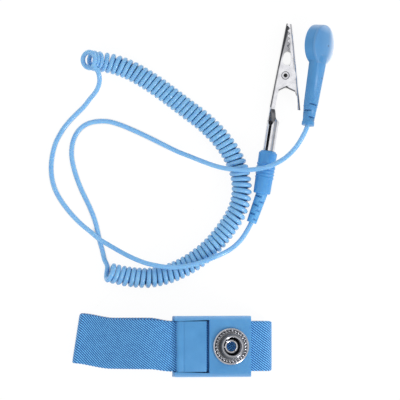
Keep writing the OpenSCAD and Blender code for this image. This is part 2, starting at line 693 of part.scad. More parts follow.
module handle_sleeve() {
    chamfer = 1;
    ring_first = 5.4;
    ring_pitch = 1.35;
    ring_r = 0.3;
    front_r = handle_d/2;
    rear_r = handle_end_d/2;
    function sleeve_r(z) = front_r + (rear_r - front_r)*z/handle_l;
    color(blue) in_grip()
    rotate_extrude() polygon(concat(
        [[pin_d/2 + seat_clear, 0], [front_r - chamfer, 0], [sleeve_r(chamfer), chamfer]],
        [for (i = [0:grip_rings - 1]) let (z = ring_first + i*ring_pitch)
            each [[sleeve_r(z), z - 1.5*ring_r], [sleeve_r(z) + ring_r, z], [sleeve_r(z), z + 1.5*ring_r]]],
        [[rear_r, handle_l - 0.3], [rear_r - 0.3, handle_l], [boot_d/2 + seat_clear, handle_l],
        [boot_d/2 + seat_clear, handle_l - lip_l], [cavity_r, handle_l - lip_l], [cavity_r, wall_front],
        [pin_d/2 + seat_clear, wall_front]]));
}

module banana_pin() {
    nose_r = 0.8;
    slit_w = 0.9;
    slit_l = pin_l - 1.5;
    tail_r = 1.2;
    pin_r = pin_d/2;
    color(nickel) in_grip()
    difference() {
        union() {
            rotate_extrude() polygon(concat(
                [[0, -pin_l]], arc([pin_r - nose_r, nose_r - pin_l], nose_r, -90, 0, 6),
                [[pin_r, wall_front], [cavity_r - seat_clear, wall_front],
                [cavity_r - seat_clear, wall_front + collar_t], [tail_r, wall_front + collar_t],
                [tail_r, wall_front + collar_t + solder_l], [0, wall_front + collar_t + solder_l]]));
        }
        for (a = [seam_turn, seam_turn + 90])
            rotate(90 + a) translate([0, 0, slit_l/2 - pin_l - eps])
                cube([pin_d + 1, slit_w, slit_l], center = true);
    }
}

// Alligator clip
// A channel's section: x is depth from the back, y runs across
module channel_block(w, depth, r) {
    translate([r, -w/2]) square([depth - r, w]);
    translate([0, r - w/2]) square([depth, w - 2*r]);
    for (s = [-1, 1])
        translate([r, s*(w/2 - r)]) circle(r);
}

// A long channel of bent sheet, back at x = 0, along y
module channel(w) {
    depth = 14;
    rotate([90, 0, 0]) linear_extrude(3*jaw_l, center = true)
        difference() {
            channel_block(w, depth, bend_r);
            translate([sheet_t, 0]) channel_block(w - 2*sheet_t, depth, bend_r - sheet_t);
        }
}

// The zigzag edge of a jaw, from its tip to its throat
function teeth(shift) =
    [for (k = [0:2*tooth_count]) let (down = k*tooth_pitch/2)
        [bite_x + bite_slope*down + shift + (k%2 == 0 ? -tooth_h/2 : tooth_h/2), teeth_top - down]];

module lower_outline() {
    outside = -9;
    polygon(concat([[outside, jaw_l], [bite_x - tooth_h/2 - bite_gap/2, jaw_l]], teeth(-bite_gap/2),
        [[-1.95, 8.6], [-2.1, 6.8], [-2.05, 5.1], [-1, 4], [0.8, 3], [0.9, -4.55], [-1.8, -6.4], [-2, -9.3],
        [tail_rim, tail_y], [outside, tail_y]]));
    circle(ear_r);
}

module upper_outline() {
    outside = 9;
    thumb_y = -12.8;
    polygon(concat([[outside, jaw_l], [bite_x - tooth_h/2 + bite_gap/2, jaw_l]], teeth(bite_gap/2),
        [[0.7, 9.4], [1.35, 5.6], [1, 3], [0.9, -4.55], [2.75, -5.2], [4.9, -5.8], [5.7, -6.8],
        [6.65, -10.65], [6.9, thumb_y], [outside, thumb_y]]));
    circle(inner_ear_r);
}

module clip_lower_jaw() {
    seam_w = 1.15;
    lap = 0.3;
    inset = 0.04;
    inner_depth = 3.4;
    mouth = 1.5;
    scoop_z = 0.4;
    tail_back = lower_back_x + tail_y*tan(lower_back_tilt);
    color(nickel) in_clip()
    difference() {
        union() {
            intersection() {
                linear_extrude(clip_w + 2, center = true) lower_outline();
                translate([lower_back_x, 0, 0]) rotate([0, 0, -lower_back_tilt]) channel(clip_w);
            }
            // sheet rolled from the channel into the barrel, lapped a little into both
            difference() {
                hull() {
                    translate([tail_back + inset, tail_y + lap, 0]) rotate([90, 0, 0]) linear_extrude(eps)
                        channel_block(clip_w - 2*inset, tail_rim - tail_back - 2*inset, bend_r - inset,
                            $fn = facet_fn);
                    translate([barrel_x, barrel_y - lap + eps, 0]) rotate([90, 0, 0])
                        cylinder(r = barrel_or - inset, h = eps, $fn = facet_fn);
                }
                hull() {
                    translate([tail_back + sheet_t - inset, tail_y + lap + eps, 0]) rotate([90, 0, 0])
                        linear_extrude(eps) channel_block(clip_w - 2*sheet_t + 2*inset, inner_depth,
                            bend_r - sheet_t + inset, $fn = facet_fn);
                    translate([barrel_x, barrel_y - lap, 0]) rotate([90, 0, 0])
                        cylinder(r = barrel_bore_r + inset, h = eps, $fn = facet_fn);
                }
            }
            translate([barrel_x, barrel_y, 0]) rotate([90, 0, 0]) cylinder(r = barrel_or, h = barrel_l);
        }
        translate([barrel_x, barrel_y + mouth, 0]) rotate([90, 0, 0])
            cylinder(r = barrel_bore_r, h = barrel_l + mouth + 1);
        // open seam of the barrel
        translate([barrel_x, barrel_y, 0]) rotate([0, -seam_turn, 0])
            translate([-seam_w/2, -barrel_l - 1, 0]) cube([seam_w, barrel_l + 1, 2*barrel_or]);
        // open scoop where the sheet narrows to the barrel
        translate([0, 0, scoop_z]) linear_extrude(clip_w)
            polygon([[-3.7, tail_y], [-1, tail_y], [-0.9, -15.1], [-1.2, -18.3], [-2.3, -20.4], [-3.5, -20.4],
                [-3.9, -19], [-3.8, -16]]);
        cylinder(r = rivet_r + seat_clear, h = clip_w + 2, center = true);
    }
}

module clip_upper_jaw() {
    hole_pos = [1.75, 6.9];
    hole_d = 0.8;
    color(nickel) in_clip()
    difference() {
        intersection() {
            linear_extrude(clip_w + 2, center = true) upper_outline();
            translate([upper_back_x, 0, 0]) rotate([0, 0, upper_back_tilt]) mirror([1, 0, 0])
                channel(upper_w);
        }
        cylinder(r = rivet_r + run_clear, h = clip_w + 2, center = true);
        // small hole in each cheek
        translate(hole_pos) cylinder(d = hole_d, h = clip_w + 2, center = true);
    }
}

module clip_pivot() {
    bore_r = rivet_r - 0.55;
    half = clip_w/2;
    color(nickel) in_clip()
    rotate_extrude() polygon([[bore_r, -half - rivet_head_t], [rivet_head_r - 0.2, -half - rivet_head_t],
        [rivet_head_r, -half], [rivet_r, -half], [rivet_r, half], [rivet_head_r, half],
        [rivet_head_r - 0.2, half + rivet_head_t], [bore_r, half + rivet_head_t]]);
}

// Torsion spring round the rivet, with a leg along the inside of each handle
spring_r = rivet_r + spring_wire/2 + 0.35;
spring_a0 = 27;
spring_a1 = 173 + 3*360;
spring_pitch = spring_wire + 0.45;
spring_steps = 42;
spring_leg = 9;
function spring_point(a) =
    [spring_r*cos(a), spring_r*sin(a), spring_pitch*(a - (spring_a0 + spring_a1)/2)/360];
function spring_along(a) = [-sin(a), cos(a), 0];
spring_curve = [for (k = [0:spring_steps]) spring_point(spring_a0 + (spring_a1 - spring_a0)*k/spring_steps)];
spring_path = concat([spring_point(spring_a0) - spring_leg*spring_along(spring_a0)], spring_curve,
    [spring_point(spring_a1) + spring_leg*spring_along(spring_a1)]);
echo(least_gap_between_spring_turns = tube_gap(spring_curve, 7, spring_wire));

module clip_spring() {
    n = len(spring_path);
    color(nickel) in_clip()
    skin([for (i = [0:n - 1])
        level_ring(spring_path[i], unit(spring_path[min(i + 1, n - 1)] - spring_path[max(i - 1, 0)]),
            spring_wire/2, 6)]);
}

elastic_band();
buckle_body();
buckle_lever();
contact_plate();
snap_stud();
stud_eyelet();
snap_housing();
snap_socket();
socket_spring();
resistor();
resistor_lead_front();
resistor_lead_rear();
cord_snap_lead();
cord_coil();
cord_clip_lead();
cord_boot();
handle_sleeve();
banana_pin();
clip_conductor();
clip_lower_jaw();
clip_pivot();
clip_spring();
clip_upper_jaw();
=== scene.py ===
# %% [markdown]
# # Antistatic wrist strap
# A woven elastic wristband with a lever buckle and a snap stud lies flattened on a table. Beside
# it lies its curly ground cord, with a snap plug on one end and an alligator clip on the other.
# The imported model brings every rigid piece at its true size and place. This lesson dresses it: it
# weaves the band, winds the cord, ropes the stud's edge, and gives every piece its finish.

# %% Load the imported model
import json
import math
from functools import partialmethod

import bmesh
import bpy
import numpy as np
from mathutils import Matrix, Vector

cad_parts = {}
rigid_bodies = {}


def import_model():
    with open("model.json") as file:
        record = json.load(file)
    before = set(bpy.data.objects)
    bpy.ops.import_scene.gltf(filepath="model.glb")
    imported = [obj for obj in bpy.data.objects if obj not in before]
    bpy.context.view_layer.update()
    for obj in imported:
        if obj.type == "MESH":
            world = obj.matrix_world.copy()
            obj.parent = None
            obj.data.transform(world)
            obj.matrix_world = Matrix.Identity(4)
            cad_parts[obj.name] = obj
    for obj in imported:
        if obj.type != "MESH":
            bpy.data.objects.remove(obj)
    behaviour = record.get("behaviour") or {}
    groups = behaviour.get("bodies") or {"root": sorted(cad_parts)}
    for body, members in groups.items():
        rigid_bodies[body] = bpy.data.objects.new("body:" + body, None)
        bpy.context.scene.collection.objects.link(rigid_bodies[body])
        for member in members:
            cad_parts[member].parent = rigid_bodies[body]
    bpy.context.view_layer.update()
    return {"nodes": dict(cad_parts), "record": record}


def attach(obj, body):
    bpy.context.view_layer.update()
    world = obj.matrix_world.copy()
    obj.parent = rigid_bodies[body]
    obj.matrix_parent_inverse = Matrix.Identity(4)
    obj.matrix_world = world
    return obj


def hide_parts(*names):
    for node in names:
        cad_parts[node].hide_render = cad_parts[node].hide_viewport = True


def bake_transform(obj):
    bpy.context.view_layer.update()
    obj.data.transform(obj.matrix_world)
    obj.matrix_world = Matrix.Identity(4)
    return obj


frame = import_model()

MM = 0.001

# %% [markdown]
# ## Camera
# The strap is seen straight from above, from far away, so that there is almost no perspective. A
# very long lens does that. The whole picture is 160 mm wide at the table.

# %% Camera straight above the table
VIEW_WIDTH, VIEW_X = 160*MM, -1.2*MM
VIEW_HEIGHT = 3.0
SENSOR = 36.0
camera_data = bpy.data.cameras.new("camera_above")
camera_data.sensor_width = SENSOR
camera_data.lens = SENSOR*VIEW_HEIGHT/VIEW_WIDTH
camera_data.clip_end = 20
camera = bpy.data.objects.new("camera_above", camera_data)
camera.location = (VIEW_X, 0, VIEW_HEIGHT)
bpy.context.scene.collection.objects.link(camera)
bpy.context.scene.camera = camera
bpy.context.scene.view_settings.view_transform = "Standard"
print("lens:", round(camera_data.lens), "mm at", VIEW_HEIGHT, "m")

# %% [markdown]
# ## Small helpers
# Shader trees and geometry trees are both made of nodes with sockets. One helper adds a node,
# sets its options, and fills each socket with a plain value or with another node's output. A
# field is a number that varies over a surface: sums written with it become math nodes, so that a
# mark on a piece reads like a formula. Colours are written the way a picture shows them, from 0
# to 255, and turned into light levels here.


# %% Helpers for nodes
def fill(tree, node, sockets):
    """Fills a node's sockets, each with a plain value or with another node's output."""
    for key, value in sockets.items():
        value = value.socket if isinstance(value, Field) else value
        if isinstance(value, bpy.types.NodeSocket):
            tree.links.new(value, node.inputs[key])
        else:
            node.inputs[key].default_value = value


def put(tree, kind, sockets=None, **options):
    """Adds a node to a tree, sets its options and fills its sockets."""
    node = tree.nodes.new(kind)
    for name, value in options.items():
        setattr(node, name, value)
    fill(tree, node, sockets or {})
    return node


print("node helpers ready")


# %% Helpers for fields
class Field:
    """A number that varies over a surface. A comparison gives 1 where it holds, and 0 elsewhere."""

    def __init__(self, tree, socket):
        self.tree, self.socket = tree, socket

    def math(self, operation, other=0.0):
        return field(self.tree, "ShaderNodeMath", {0: self, 1: other}, operation=operation)

    __add__ = __radd__ = partialmethod(math, "ADD")
    __sub__ = partialmethod(math, "SUBTRACT")
    __mul__ = __rmul__ = partialmethod(math, "MULTIPLY")
    __truediv__ = partialmethod(math, "DIVIDE")
    __pow__ = partialmethod(math, "POWER")
    __gt__ = partialmethod(math, "GREATER_THAN")
    __lt__ = partialmethod(math, "LESS_THAN")
    __abs__ = partialmethod(math, "ABSOLUTE")

    def __rsub__(self, other):
        return self*-1.0 + other

    def fade(self, start, end):
        """Falls from 1 at start to 0 at end, and stays there."""
        return field(self.tree, "ShaderNodeMapRange", {"Value": self, "From Min": start,
                     "From Max": end, "To Min": 1.0, "To Max": 0.0}, "Result")

    def crests(self):
        """Round crests with sharp valleys between them, one per whole step, from 0 to 1."""
        return abs((self*math.pi).math("SINE"))


def field(tree, kind, sockets, output=0, **options):
    """The output of a new node, as a field."""
    return Field(tree, put(tree, kind, sockets, **options).outputs[output])


def largest(first, *others):
    for other in others:
        first = first.math("MAXIMUM", other)
    return first


print("field helpers ready")


# %% Helpers for finishes
def seen(red, green, blue):
    """A colour as seen in a picture, as linear light."""
    levels = [c/255/12.92 if c <= 10 else ((c/255 + 0.055)/1.055)**2.4
              for c in (red, green, blue)]
    return (*levels, 1.0)


def grey(level):
    return (level, level, level, 1.0)


def new_finish(name):
    """A material with its tree, its shader and the place on the piece as a vector."""
    finish = bpy.data.materials.new(name)
    finish.use_nodes = True
    tree = finish.node_tree
    place = put(tree, "ShaderNodeTexCoord").outputs["Object"]
    return finish, tree, tree.nodes["Principled BSDF"], place


def ramp(tree, factor, *stops):
    """A colour ramp through (position, colour) stops."""
    node = put(tree, "ShaderNodeValToRGB", {"Fac": factor})
    while len(node.color_ramp.elements) < len(stops):
        node.color_ramp.elements.new(1.0)
    for element, (position, colour) in zip(node.color_ramp.elements, stops):
        element.position = position
        element.color = colour
    return node.outputs["Color"]


def noise(tree, place, scale, detail):
    return field(tree, "ShaderNodeTexNoise", {"Vector": place, "Scale": scale, "Detail": detail,
                                              "Roughness": 0.55}, "Fac")


def mix_colours(tree, factor, first, second):
    node = put(tree, "ShaderNodeMix", {0: factor, 6: first, 7: second}, data_type="RGBA")
    return node.outputs[2]


def bump(tree, shader, height, strength, depth):
    node = put(tree, "ShaderNodeBump", {"Height": height, "Strength": strength, "Distance": depth})
    tree.links.new(node.outputs["Normal"], shader.inputs["Normal"])


def along_axis(tree, place, origin, axis):
    """How far a spot lies from an origin along an axis, in mm."""
    offset = put(tree, "ShaderNodeVectorMath", {0: place, 1: tuple(origin)}, operation="SUBTRACT")
    return field(tree, "ShaderNodeVectorMath", {0: offset.outputs[0], 1: tuple(np.array(axis)/MM)},
                 "Value", operation="DOT_PRODUCT")


def far_out(first, second):
    """How far a spot lies from an axis, from two distances square to each other."""
    return (first*first + second*second).math("SQRT")


print("finish helpers ready")

# %% Helpers for pieces
BODY_OF = {node: body for body, nodes in frame["record"]["behaviour"]["bodies"].items()
           for node in nodes}


def stand_for(piece, *nodes, crosses=None):
    """The piece replaces its nodes and hides them. It moves with their body, or where it
    crosses a joint, it stays unattached, with its place baked into its mesh."""
    if crosses:
        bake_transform(piece)
    else:
        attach(piece, BODY_OF[nodes[0]])
    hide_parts(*nodes)


def new_piece(name, mesh):
    piece = bpy.data.objects.new(name, mesh)
    bpy.context.scene.collection.objects.link(piece)
    return piece


print("helpers ready for bodies", sorted(set(BODY_OF.values())))

# %% [markdown]
# ## Where the plug, the clip and the stud lie
# The plug lies askew with its cord end propped up, the clip lies flat and turned a little, and
# the stud leans with the buckle. The cord's ends and some of the finishes follow these places.

# %% The plug's place
PLUG_POS = np.array((46.4, 61.9, 8.1))*MM
PLUG_YAW, PLUG_PITCH, PLUG_ROLL = (math.radians(a) for a in (-8.35, -10, 60.5))
PLUG_LENGTH = 33*MM
plug_axis = np.array((-math.sin(PLUG_YAW)*math.cos(PLUG_PITCH),
                      math.cos(PLUG_YAW)*math.cos(PLUG_PITCH), math.sin(PLUG_PITCH)))
plug_tip = PLUG_POS - PLUG_LENGTH*plug_axis
plug_turn = (Matrix.Rotation(PLUG_YAW, 3, "Z") @ Matrix.Rotation(PLUG_PITCH, 3, "X")
             @ Matrix.Rotation(PLUG_ROLL, 3, "Y"))
head_axis = np.array(plug_turn @ Vector((0, 0, 1)))
face_right = -np.array(plug_turn @ Vector((1, 0, 0)))
face_right = face_right*np.sign(face_right[0])
print("cord leaves the plug at", (plug_tip/MM).round(1))

# %% The clip's and the boot's places
CLIP_POS = np.array((32.9, 49.7, 3.95))*MM
CLIP_TILT, BOOT_BEND, BOOT_DIP = (math.radians(a) for a in (9, 10.6, 3))
BARREL_X, BARREL_Y, BARREL_L = -1.96*MM, -18.7*MM, 11.9*MM
HANDLE_GAP, HANDLE_L, BOOT_L = 0.15*MM, 17.3*MM, 12.2*MM
clip_axis = np.array((math.sin(CLIP_TILT), math.cos(CLIP_TILT), 0))
clip_across = np.array((math.cos(CLIP_TILT), -math.sin(CLIP_TILT), 0))
boot_dir = math.cos(BOOT_DIP)*(-math.sin(BOOT_BEND)*clip_across - math.cos(BOOT_BEND)*clip_axis)
boot_dir = boot_dir + np.array((0, 0, -math.sin(BOOT_DIP)))
boot_root = (CLIP_POS + BARREL_X*clip_across
             + (BARREL_Y - BARREL_L - HANDLE_GAP - HANDLE_L)*clip_axis)
boot_tip = boot_root + BOOT_L*boot_dir
print("cord enters the boot at", (boot_tip/MM).round(1))

# %% The buckle's and the stud's places
BUCKLE_X, BUCKLE_Y, BUCKLE_Z = 2.85*MM, -58.3*MM, 11.086*MM
BUCKLE_TILT = math.radians(14)
STUD_X, PLATE_TOP = 7.2*MM, 5.0*MM
tilt_along = np.array((math.cos(BUCKLE_TILT), -math.sin(BUCKLE_TILT)))
tilt_out = np.array((math.sin(BUCKLE_TILT), math.cos(BUCKLE_TILT)))
stud_foot = np.array((BUCKLE_X + STUD_X*tilt_along[0], BUCKLE_Y, BUCKLE_Z + STUD_X*tilt_along[1]))
stud_axis = np.array((tilt_out[0], 0, tilt_out[1]))
print("stud stands at", (stud_foot/MM).round(1))

# %% [markdown]
# ## Finishes: moulded plastic and cord jacket
# The buckle, plug and handle are moulded in a soft blue plastic with a satin skin. A real
# moulding is never one flat colour: the melt flows in faint clouds, the mould leaves a fine
# grain, and the gloss changes with the grain. Two sizes of noise give that. Some edges get a
# painted highlight, a paler blue: the long edges of the buckle, the plug's free end, the side of
# its face and a faint line at its left edge. The plug also shows the line where the halves of its
# mould met and two tiny marks of the pins that pushed it out, and its face is a little darker.
# The cord's jacket is a paler, slightly see-through blue. It is extruded, so it is smoother and
# shinier and has no grain, and light seeps through it between the curls.


# %% Moulded plastic and jacket
# The pale blue is a painted highlight, laid on edges where light catches them.
MARK_BLUE, HIGHLIGHT_BLUE = seen(30, 66, 112), seen(226, 238, 250)


def moulded_plastic(name, light, dark, gloss, marks=None):
    finish, tree, shader, place = new_finish(name)
    clouds = noise(tree, place, 160, 4.0)
    pebbles = noise(tree, place, 2600, 2.0)
    skin = ramp(tree, clouds + pebbles*0.35, (0.45, dark), (0.9, light))
    if marks:
        # The marks come with a painted highlight, mixed into the skin as a pale blue.
        dark_marks, painted_highlight = marks(tree, place)
        skin = mix_colours(tree, dark_marks, skin, MARK_BLUE)
        skin = mix_colours(tree, painted_highlight, skin, HIGHLIGHT_BLUE)
    rough = ramp(tree, pebbles, (0.3, grey(gloss - 0.06)), (0.7, grey(gloss + 0.08)))
    fill(tree, shader, {
        "Base Color": skin, "Roughness": rough, "Sheen Weight": 0.12, "Sheen Roughness": 0.4,
        "Subsurface Weight": 0.35, "Subsurface Radius": (0.4, 0.8, 1.0),
        "Subsurface Scale": 1.5*MM})
    bump(tree, shader, pebbles, 0.04, 0.1*MM)
    return finish


def cord_jacket(name, light, dark, gloss):
    finish, tree, shader, place = new_finish(name)
    clouds = noise(tree, place, 90, 3.0)
    film = noise(tree, place, 900, 2.0)
    rough = ramp(tree, film, (0.3, grey(gloss - 0.05)), (0.7, grey(gloss + 0.06)))
    fill(tree, shader, {
        "Base Color": ramp(tree, clouds, (0.35, dark), (0.65, light)), "Roughness": rough,
        "Subsurface Weight": 0.8, "Subsurface Radius": (1.0, 0.9, 1.0),
        "Subsurface Scale": 1.6*MM})
    bump(tree, shader, film, 0.02, 0.1*MM)
    return finish


grip_blue = moulded_plastic("grip_blue", seen(80, 157, 220), seen(68, 146, 211), 0.4)
boot_blue = moulded_plastic("boot_blue", seen(92, 168, 224), seen(82, 158, 216), 0.38)
jacket_blue = cord_jacket("jacket_blue", seen(134, 188, 230), seen(124, 180, 224), 0.2)
print("plastics:", [m.name for m in (grip_blue, boot_blue, jacket_blue)])

# %% Marks and painted highlights of the plug and the buckle (in mm, but the pins' marks in metres)
HEAD_R, HEAD_BACK, LINE_BACK = 8.05, -8.0, -7.0
FACE_HEIGHT, PARTING_HEIGHT, LEAST_CHORD = 1.6, 1.15, 12**0.5
PIN_MARKS = ((50.04*MM, 61.44*MM, 0), (47.4*MM, 48.48*MM, 0))
PIN_R, PIN_EDGE = 0.18*MM, 0.38*MM
BUCKLE_HALF = 12.1


def plug_marks_and_highlights(tree, place):
    """Pin marks, parting line and a darker face; painted highlights on the plug's face and rim."""
    height, aside, ahead = (along_axis(tree, place, PLUG_POS, axis)
                            for axis in (head_axis, face_right, plug_axis))
    on_face = (ahead > HEAD_BACK)*(height > FACE_HEIGHT)
    chord = largest((HEAD_R**2 - ahead*ahead).math("SQRT"), LEAST_CHORD)
    # Painted highlights: the right side of the face, a faint line at its left edge, the free end.
    right_rim_highlight = on_face*(aside/chord).fade(1.0, 0.1)**1.75
    rim = far_out(ahead, aside).fade(HEAD_R - 0.1, HEAD_R - 0.4)
    left_rim_highlight = on_face*0.07*rim*aside.fade(-2, 0)
    free_end_highlight = 0.35*ahead.fade(8.0, 4.5)
    line = 0.22*(abs(height - PARTING_HEIGHT) < 0.1)*(ahead > LINE_BACK)
    flat = put(tree, "ShaderNodeVectorMath", {0: place, 1: (1, 1, 0)}, operation="MULTIPLY")
    pins = [field(tree, "ShaderNodeVectorMath", {0: flat.outputs[0], 1: pin}, "Value",
                  operation="DISTANCE").fade(PIN_R, PIN_EDGE) for pin in PIN_MARKS]
    dark = largest(line, *pins, on_face*0.1)
    return dark.math("MINIMUM", 0.85), largest(right_rim_highlight, left_rim_highlight, free_end_highlight)


def buckle_edge_highlights(tree, place):
    """A painted highlight makes the buckle's two long edges a little paler."""
    aside = along_axis(tree, place, (0, BUCKLE_Y, 0), (0, 1, 0))
    to_edge = abs(aside).fade(BUCKLE_HALF, BUCKLE_HALF - 2.0)
    return 0.0, 0.22*to_edge*to_edge


buckle_blue = moulded_plastic("buckle_blue", seen(80, 151, 206), seen(70, 141, 197), 0.46,
                              buckle_edge_highlights)
plug_blue = moulded_plastic("plug_blue", seen(78, 147, 203), seen(68, 138, 195), 0.4, plug_marks_and_highlights)
print("marked plastics:", buckle_blue.name, plug_blue.name)

# %% [markdown]
# ## Finishes: metals
# The stud, the eyelet and the clip are nickel-plated: bright, with broad cloudy spots where the
# plating is rubbed and duller. Folds and corners get painted shade, a dark grey mixed into the
# plate: the bent back of the clip, the scoop before its barrel, its teeth, the edges under its
# ears and along its thumb arm, the roped groove, the foot of the stud's wall and the stud's
# recess are much darker. The rim of the clip's pivot is darker too. Each of those places is
# found from the piece's own frame. The pin in the clip's barrel is painted dark, as it lies in
# the shade of the barrel's seam. The hidden springs, wires and resistor are seen only when the
# strap is taken apart, but they get their own finishes as well.


# %% Plated metal and lacquer
# Dark grey mixed in by a mask: painted shade on the clip and the stud, a darker pivot rim.
DARKENED_GREY = seen(26, 29, 36)


def plated_metal(name, bright, dull, gloss, darkening=None):
    finish, tree, shader, place = new_finish(name)
    spots = noise(tree, place, 420, 4.0)
    plate = ramp(tree, spots, (0.35, seen(*dull)), (0.62, seen(*bright)))
    if darkening:
        plate = mix_colours(tree, darkening(tree, place), plate, DARKENED_GREY)
    rough = ramp(tree, spots, (0.3, grey(gloss + 0.08)), (0.68, grey(gloss)))
    fill(tree, shader, {"Base Color": plate, "Roughness": rough, "Metallic": 1.0})
    bump(tree, shader, spots, 0.02, 0.05*MM)
    return finish


def lacquer(name, light, dark):
    finish, tree, shader, place = new_finish(name)
    mottle = noise(tree, place, 1500, 3.0)
    fill(tree, shader, {"Base Color": ramp(tree, mottle, (0.35, seen(*dark)), (0.65, seen(*light))),
                        "Roughness": 0.3})
    bump(tree, shader, mottle, 0.05, 0.05*MM)
    return finish


nickel = plated_metal("nickel_plate", (232, 232, 236), (216, 216, 221), 0.13)
# Painted shade: the barrel's pin is painted dark, as it lies in the shade under the seam.
pin_in_shade = plated_metal("pin_painted_dark", (66, 70, 80), (48, 52, 60), 0.3)
spring_steel = plated_metal("spring_steel", (196, 196, 198), (164, 164, 168), 0.26)
tinned_copper = plated_metal("tinned_copper", (222, 190, 150), (196, 160, 120), 0.26)
resistor_coat = lacquer("resistor_lacquer", (226, 200, 158), (206, 176, 132))
print("metals:", [m.name for m in (nickel, pin_in_shade, spring_steel, tinned_copper)])

# %% Painted shade and a darker pivot rim on the clip (in mm, across and along it from its pivot)
BACK_X, BACK_LEAN = 3.6, -0.0393
BACK_END, SCOOP_END = -13.5, -20.3
LOWER_EAR, UPPER_EAR = ((-1.8, -6.4), (0.9, -4.55)), ((0.9, -4.55), (4.9, -5.8))
EAR_SHADE = 0.85
ARM_X, ARM_LEAN = 4.75, -0.2605
RIVET_HEAD_R = 1.7


def clip_spot(tree, place):
    return (along_axis(tree, place, CLIP_POS, clip_across),
            along_axis(tree, place, CLIP_POS, clip_axis))


def near_line(across, along, start, end):
    """1 just above the line from start to end on the clip, and 0 further up and elsewhere."""
    slope = (end[1] - start[1])/(end[0] - start[0])
    above = along - (slope*across + (start[1] - slope*start[0]))
    return above.fade(0.3, 0.55)*(above > -0.5)*(across > start[0])*(across < end[0])


def bent_back_shade(tree, place):
    """Painted shade: dark on the clip's bent back, in the scoop before its barrel and under its
    ear, and a lighter painted shade on its teeth."""
    across, along = clip_spot(tree, place)
    height = along_axis(tree, place, CLIP_POS, (0, 0, 1))
    from_back = across + BACK_X + along*BACK_LEAN
    reach = 0.06*largest(along - 2.0, 0.0)
    stripe = 0.92*(from_back - reach).fade(0.3, 0.52)*(along > BACK_END)
    in_scoop = along.fade(BACK_END - 0.1, BACK_END + 0.3)*(along > SCOOP_END)
    scoop = 0.7*in_scoop*height.fade(0.3, 0.9)
    teeth = 0.5*along.fade(8.5, 6.5)
    return largest(stripe, scoop, EAR_SHADE*near_line(across, along, *LOWER_EAR), teeth)


def thumb_edge_shade(tree, place):
    """Painted shade: dark under the thumb jaw's ear and along its thumb arm."""
    across, along = clip_spot(tree, place)
    from_edge = along*ARM_LEAN + ARM_X - across
    arm = 0.8*from_edge.fade(0.3, 0.5)*along.fade(-7.5, -5.0)
    return largest(EAR_SHADE*near_line(across, along, *UPPER_EAR), arm)


def rivet_rim(tree, place):
    """Darker round the rim of the clip's pivot."""
    return 0.75*far_out(*clip_spot(tree, place)).fade(RIVET_HEAD_R - 0.15, RIVET_HEAD_R - 0.45)


back_nickel = plated_metal("bent_back_nickel", (230, 230, 234), (212, 212, 217), 0.13, bent_back_shade)
thumb_nickel = plated_metal("thumb_nickel", (232, 232, 236), (216, 216, 221), 0.13, thumb_edge_shade)
pivot_nickel = plated_metal("pivot_nickel", (222, 222, 226), (196, 196, 202), 0.16, rivet_rim)
print("clip metals:", [m.name for m in (back_nickel, thumb_nickel, pivot_nickel)])

# %% Painted shade on the stud (in mm, from the top of the buckle's plate)
RECESS_R, GROOVE_R = 3.7, 5.85


def stud_corner_shade(tree, place):
    """Painted shade in the stud's recess, in the groove under its rope and at its wall's foot."""
    top = stud_foot + PLATE_TOP*stud_axis
    height = along_axis(tree, place, top, stud_axis)
    sideways = along_axis(tree, place, top, (tilt_along[0], 0, tilt_along[1]))
    out = far_out(sideways, along_axis(tree, place, top, (0, 1, 0)))
    recess = out.fade(RECESS_R, RECESS_R + 0.5)*height.fade(2.5, 2.9)
    groove = 0.8*height.fade(0.5, 0.62)*abs(out - GROOVE_R).fade(0.5, 0.65)
    wall = out.fade(4.5, 3.9)*out.fade(5.3, 5.45)*(0.65 + sideways*-0.045)
    return 0.95*largest(recess, groove, wall)


stud_nickel = plated_metal("stud_nickel", (214, 215, 221), (192, 194, 201), 0.14, stud_corner_shade)
print("stud metal:", stud_nickel.name)

# %% [markdown]
# ## The cord's route
# The cord is one piece from plug to boot: a free stretch, about seventy curls, and a second free
# stretch. Its route is repeated here from the part's source. A smooth curve goes through the
# listed points of the free stretches, and the curls wind round the line of the curly
# stretch. They share out the length of that line's inner side, because on a bend the curls crowd
# there first.

# %% Route points of the cord
CORD_D, CORD_SIDES = 1.9*MM, 14
COIL_OD, COIL_ROUNDS = 8.2*MM, 72.5
CURL_POINTS = 24

coil_route = np.array([
    (-45.8, 55.9, 9.9), (-44.4, 55.7, 7.7), (-42.5, 55.4, 5.95), (-40.2, 55.1, 4.8),
    (-36.8, 54.5, 4.2), (-33, 53.4, 4.15), (-27.6, 51.1, 4.15), (-20.4, 46.8, 4.15),
    (-13.2, 41.6, 4.15), (-6.4, 36.4, 4.15), (0.4, 31.2, 4.15), (6.8, 24.8, 4.15),
    (11.6, 18, 4.15), (14.6, 10.8, 4.15), (15.4, 3.2, 4.15), (13.6, -4.4, 4.15),
    (9.2, -11.6, 4.15), (3.6, -18.4, 4.15), (-3.6, -24.4, 4.15), (-12, -28.8, 4.15),
    (-20.8, -31, 4.15), (-28.6, -30.8, 4.15), (-33.6, -29.9, 4.35), (-37.9, -28.8, 5.2)])*MM

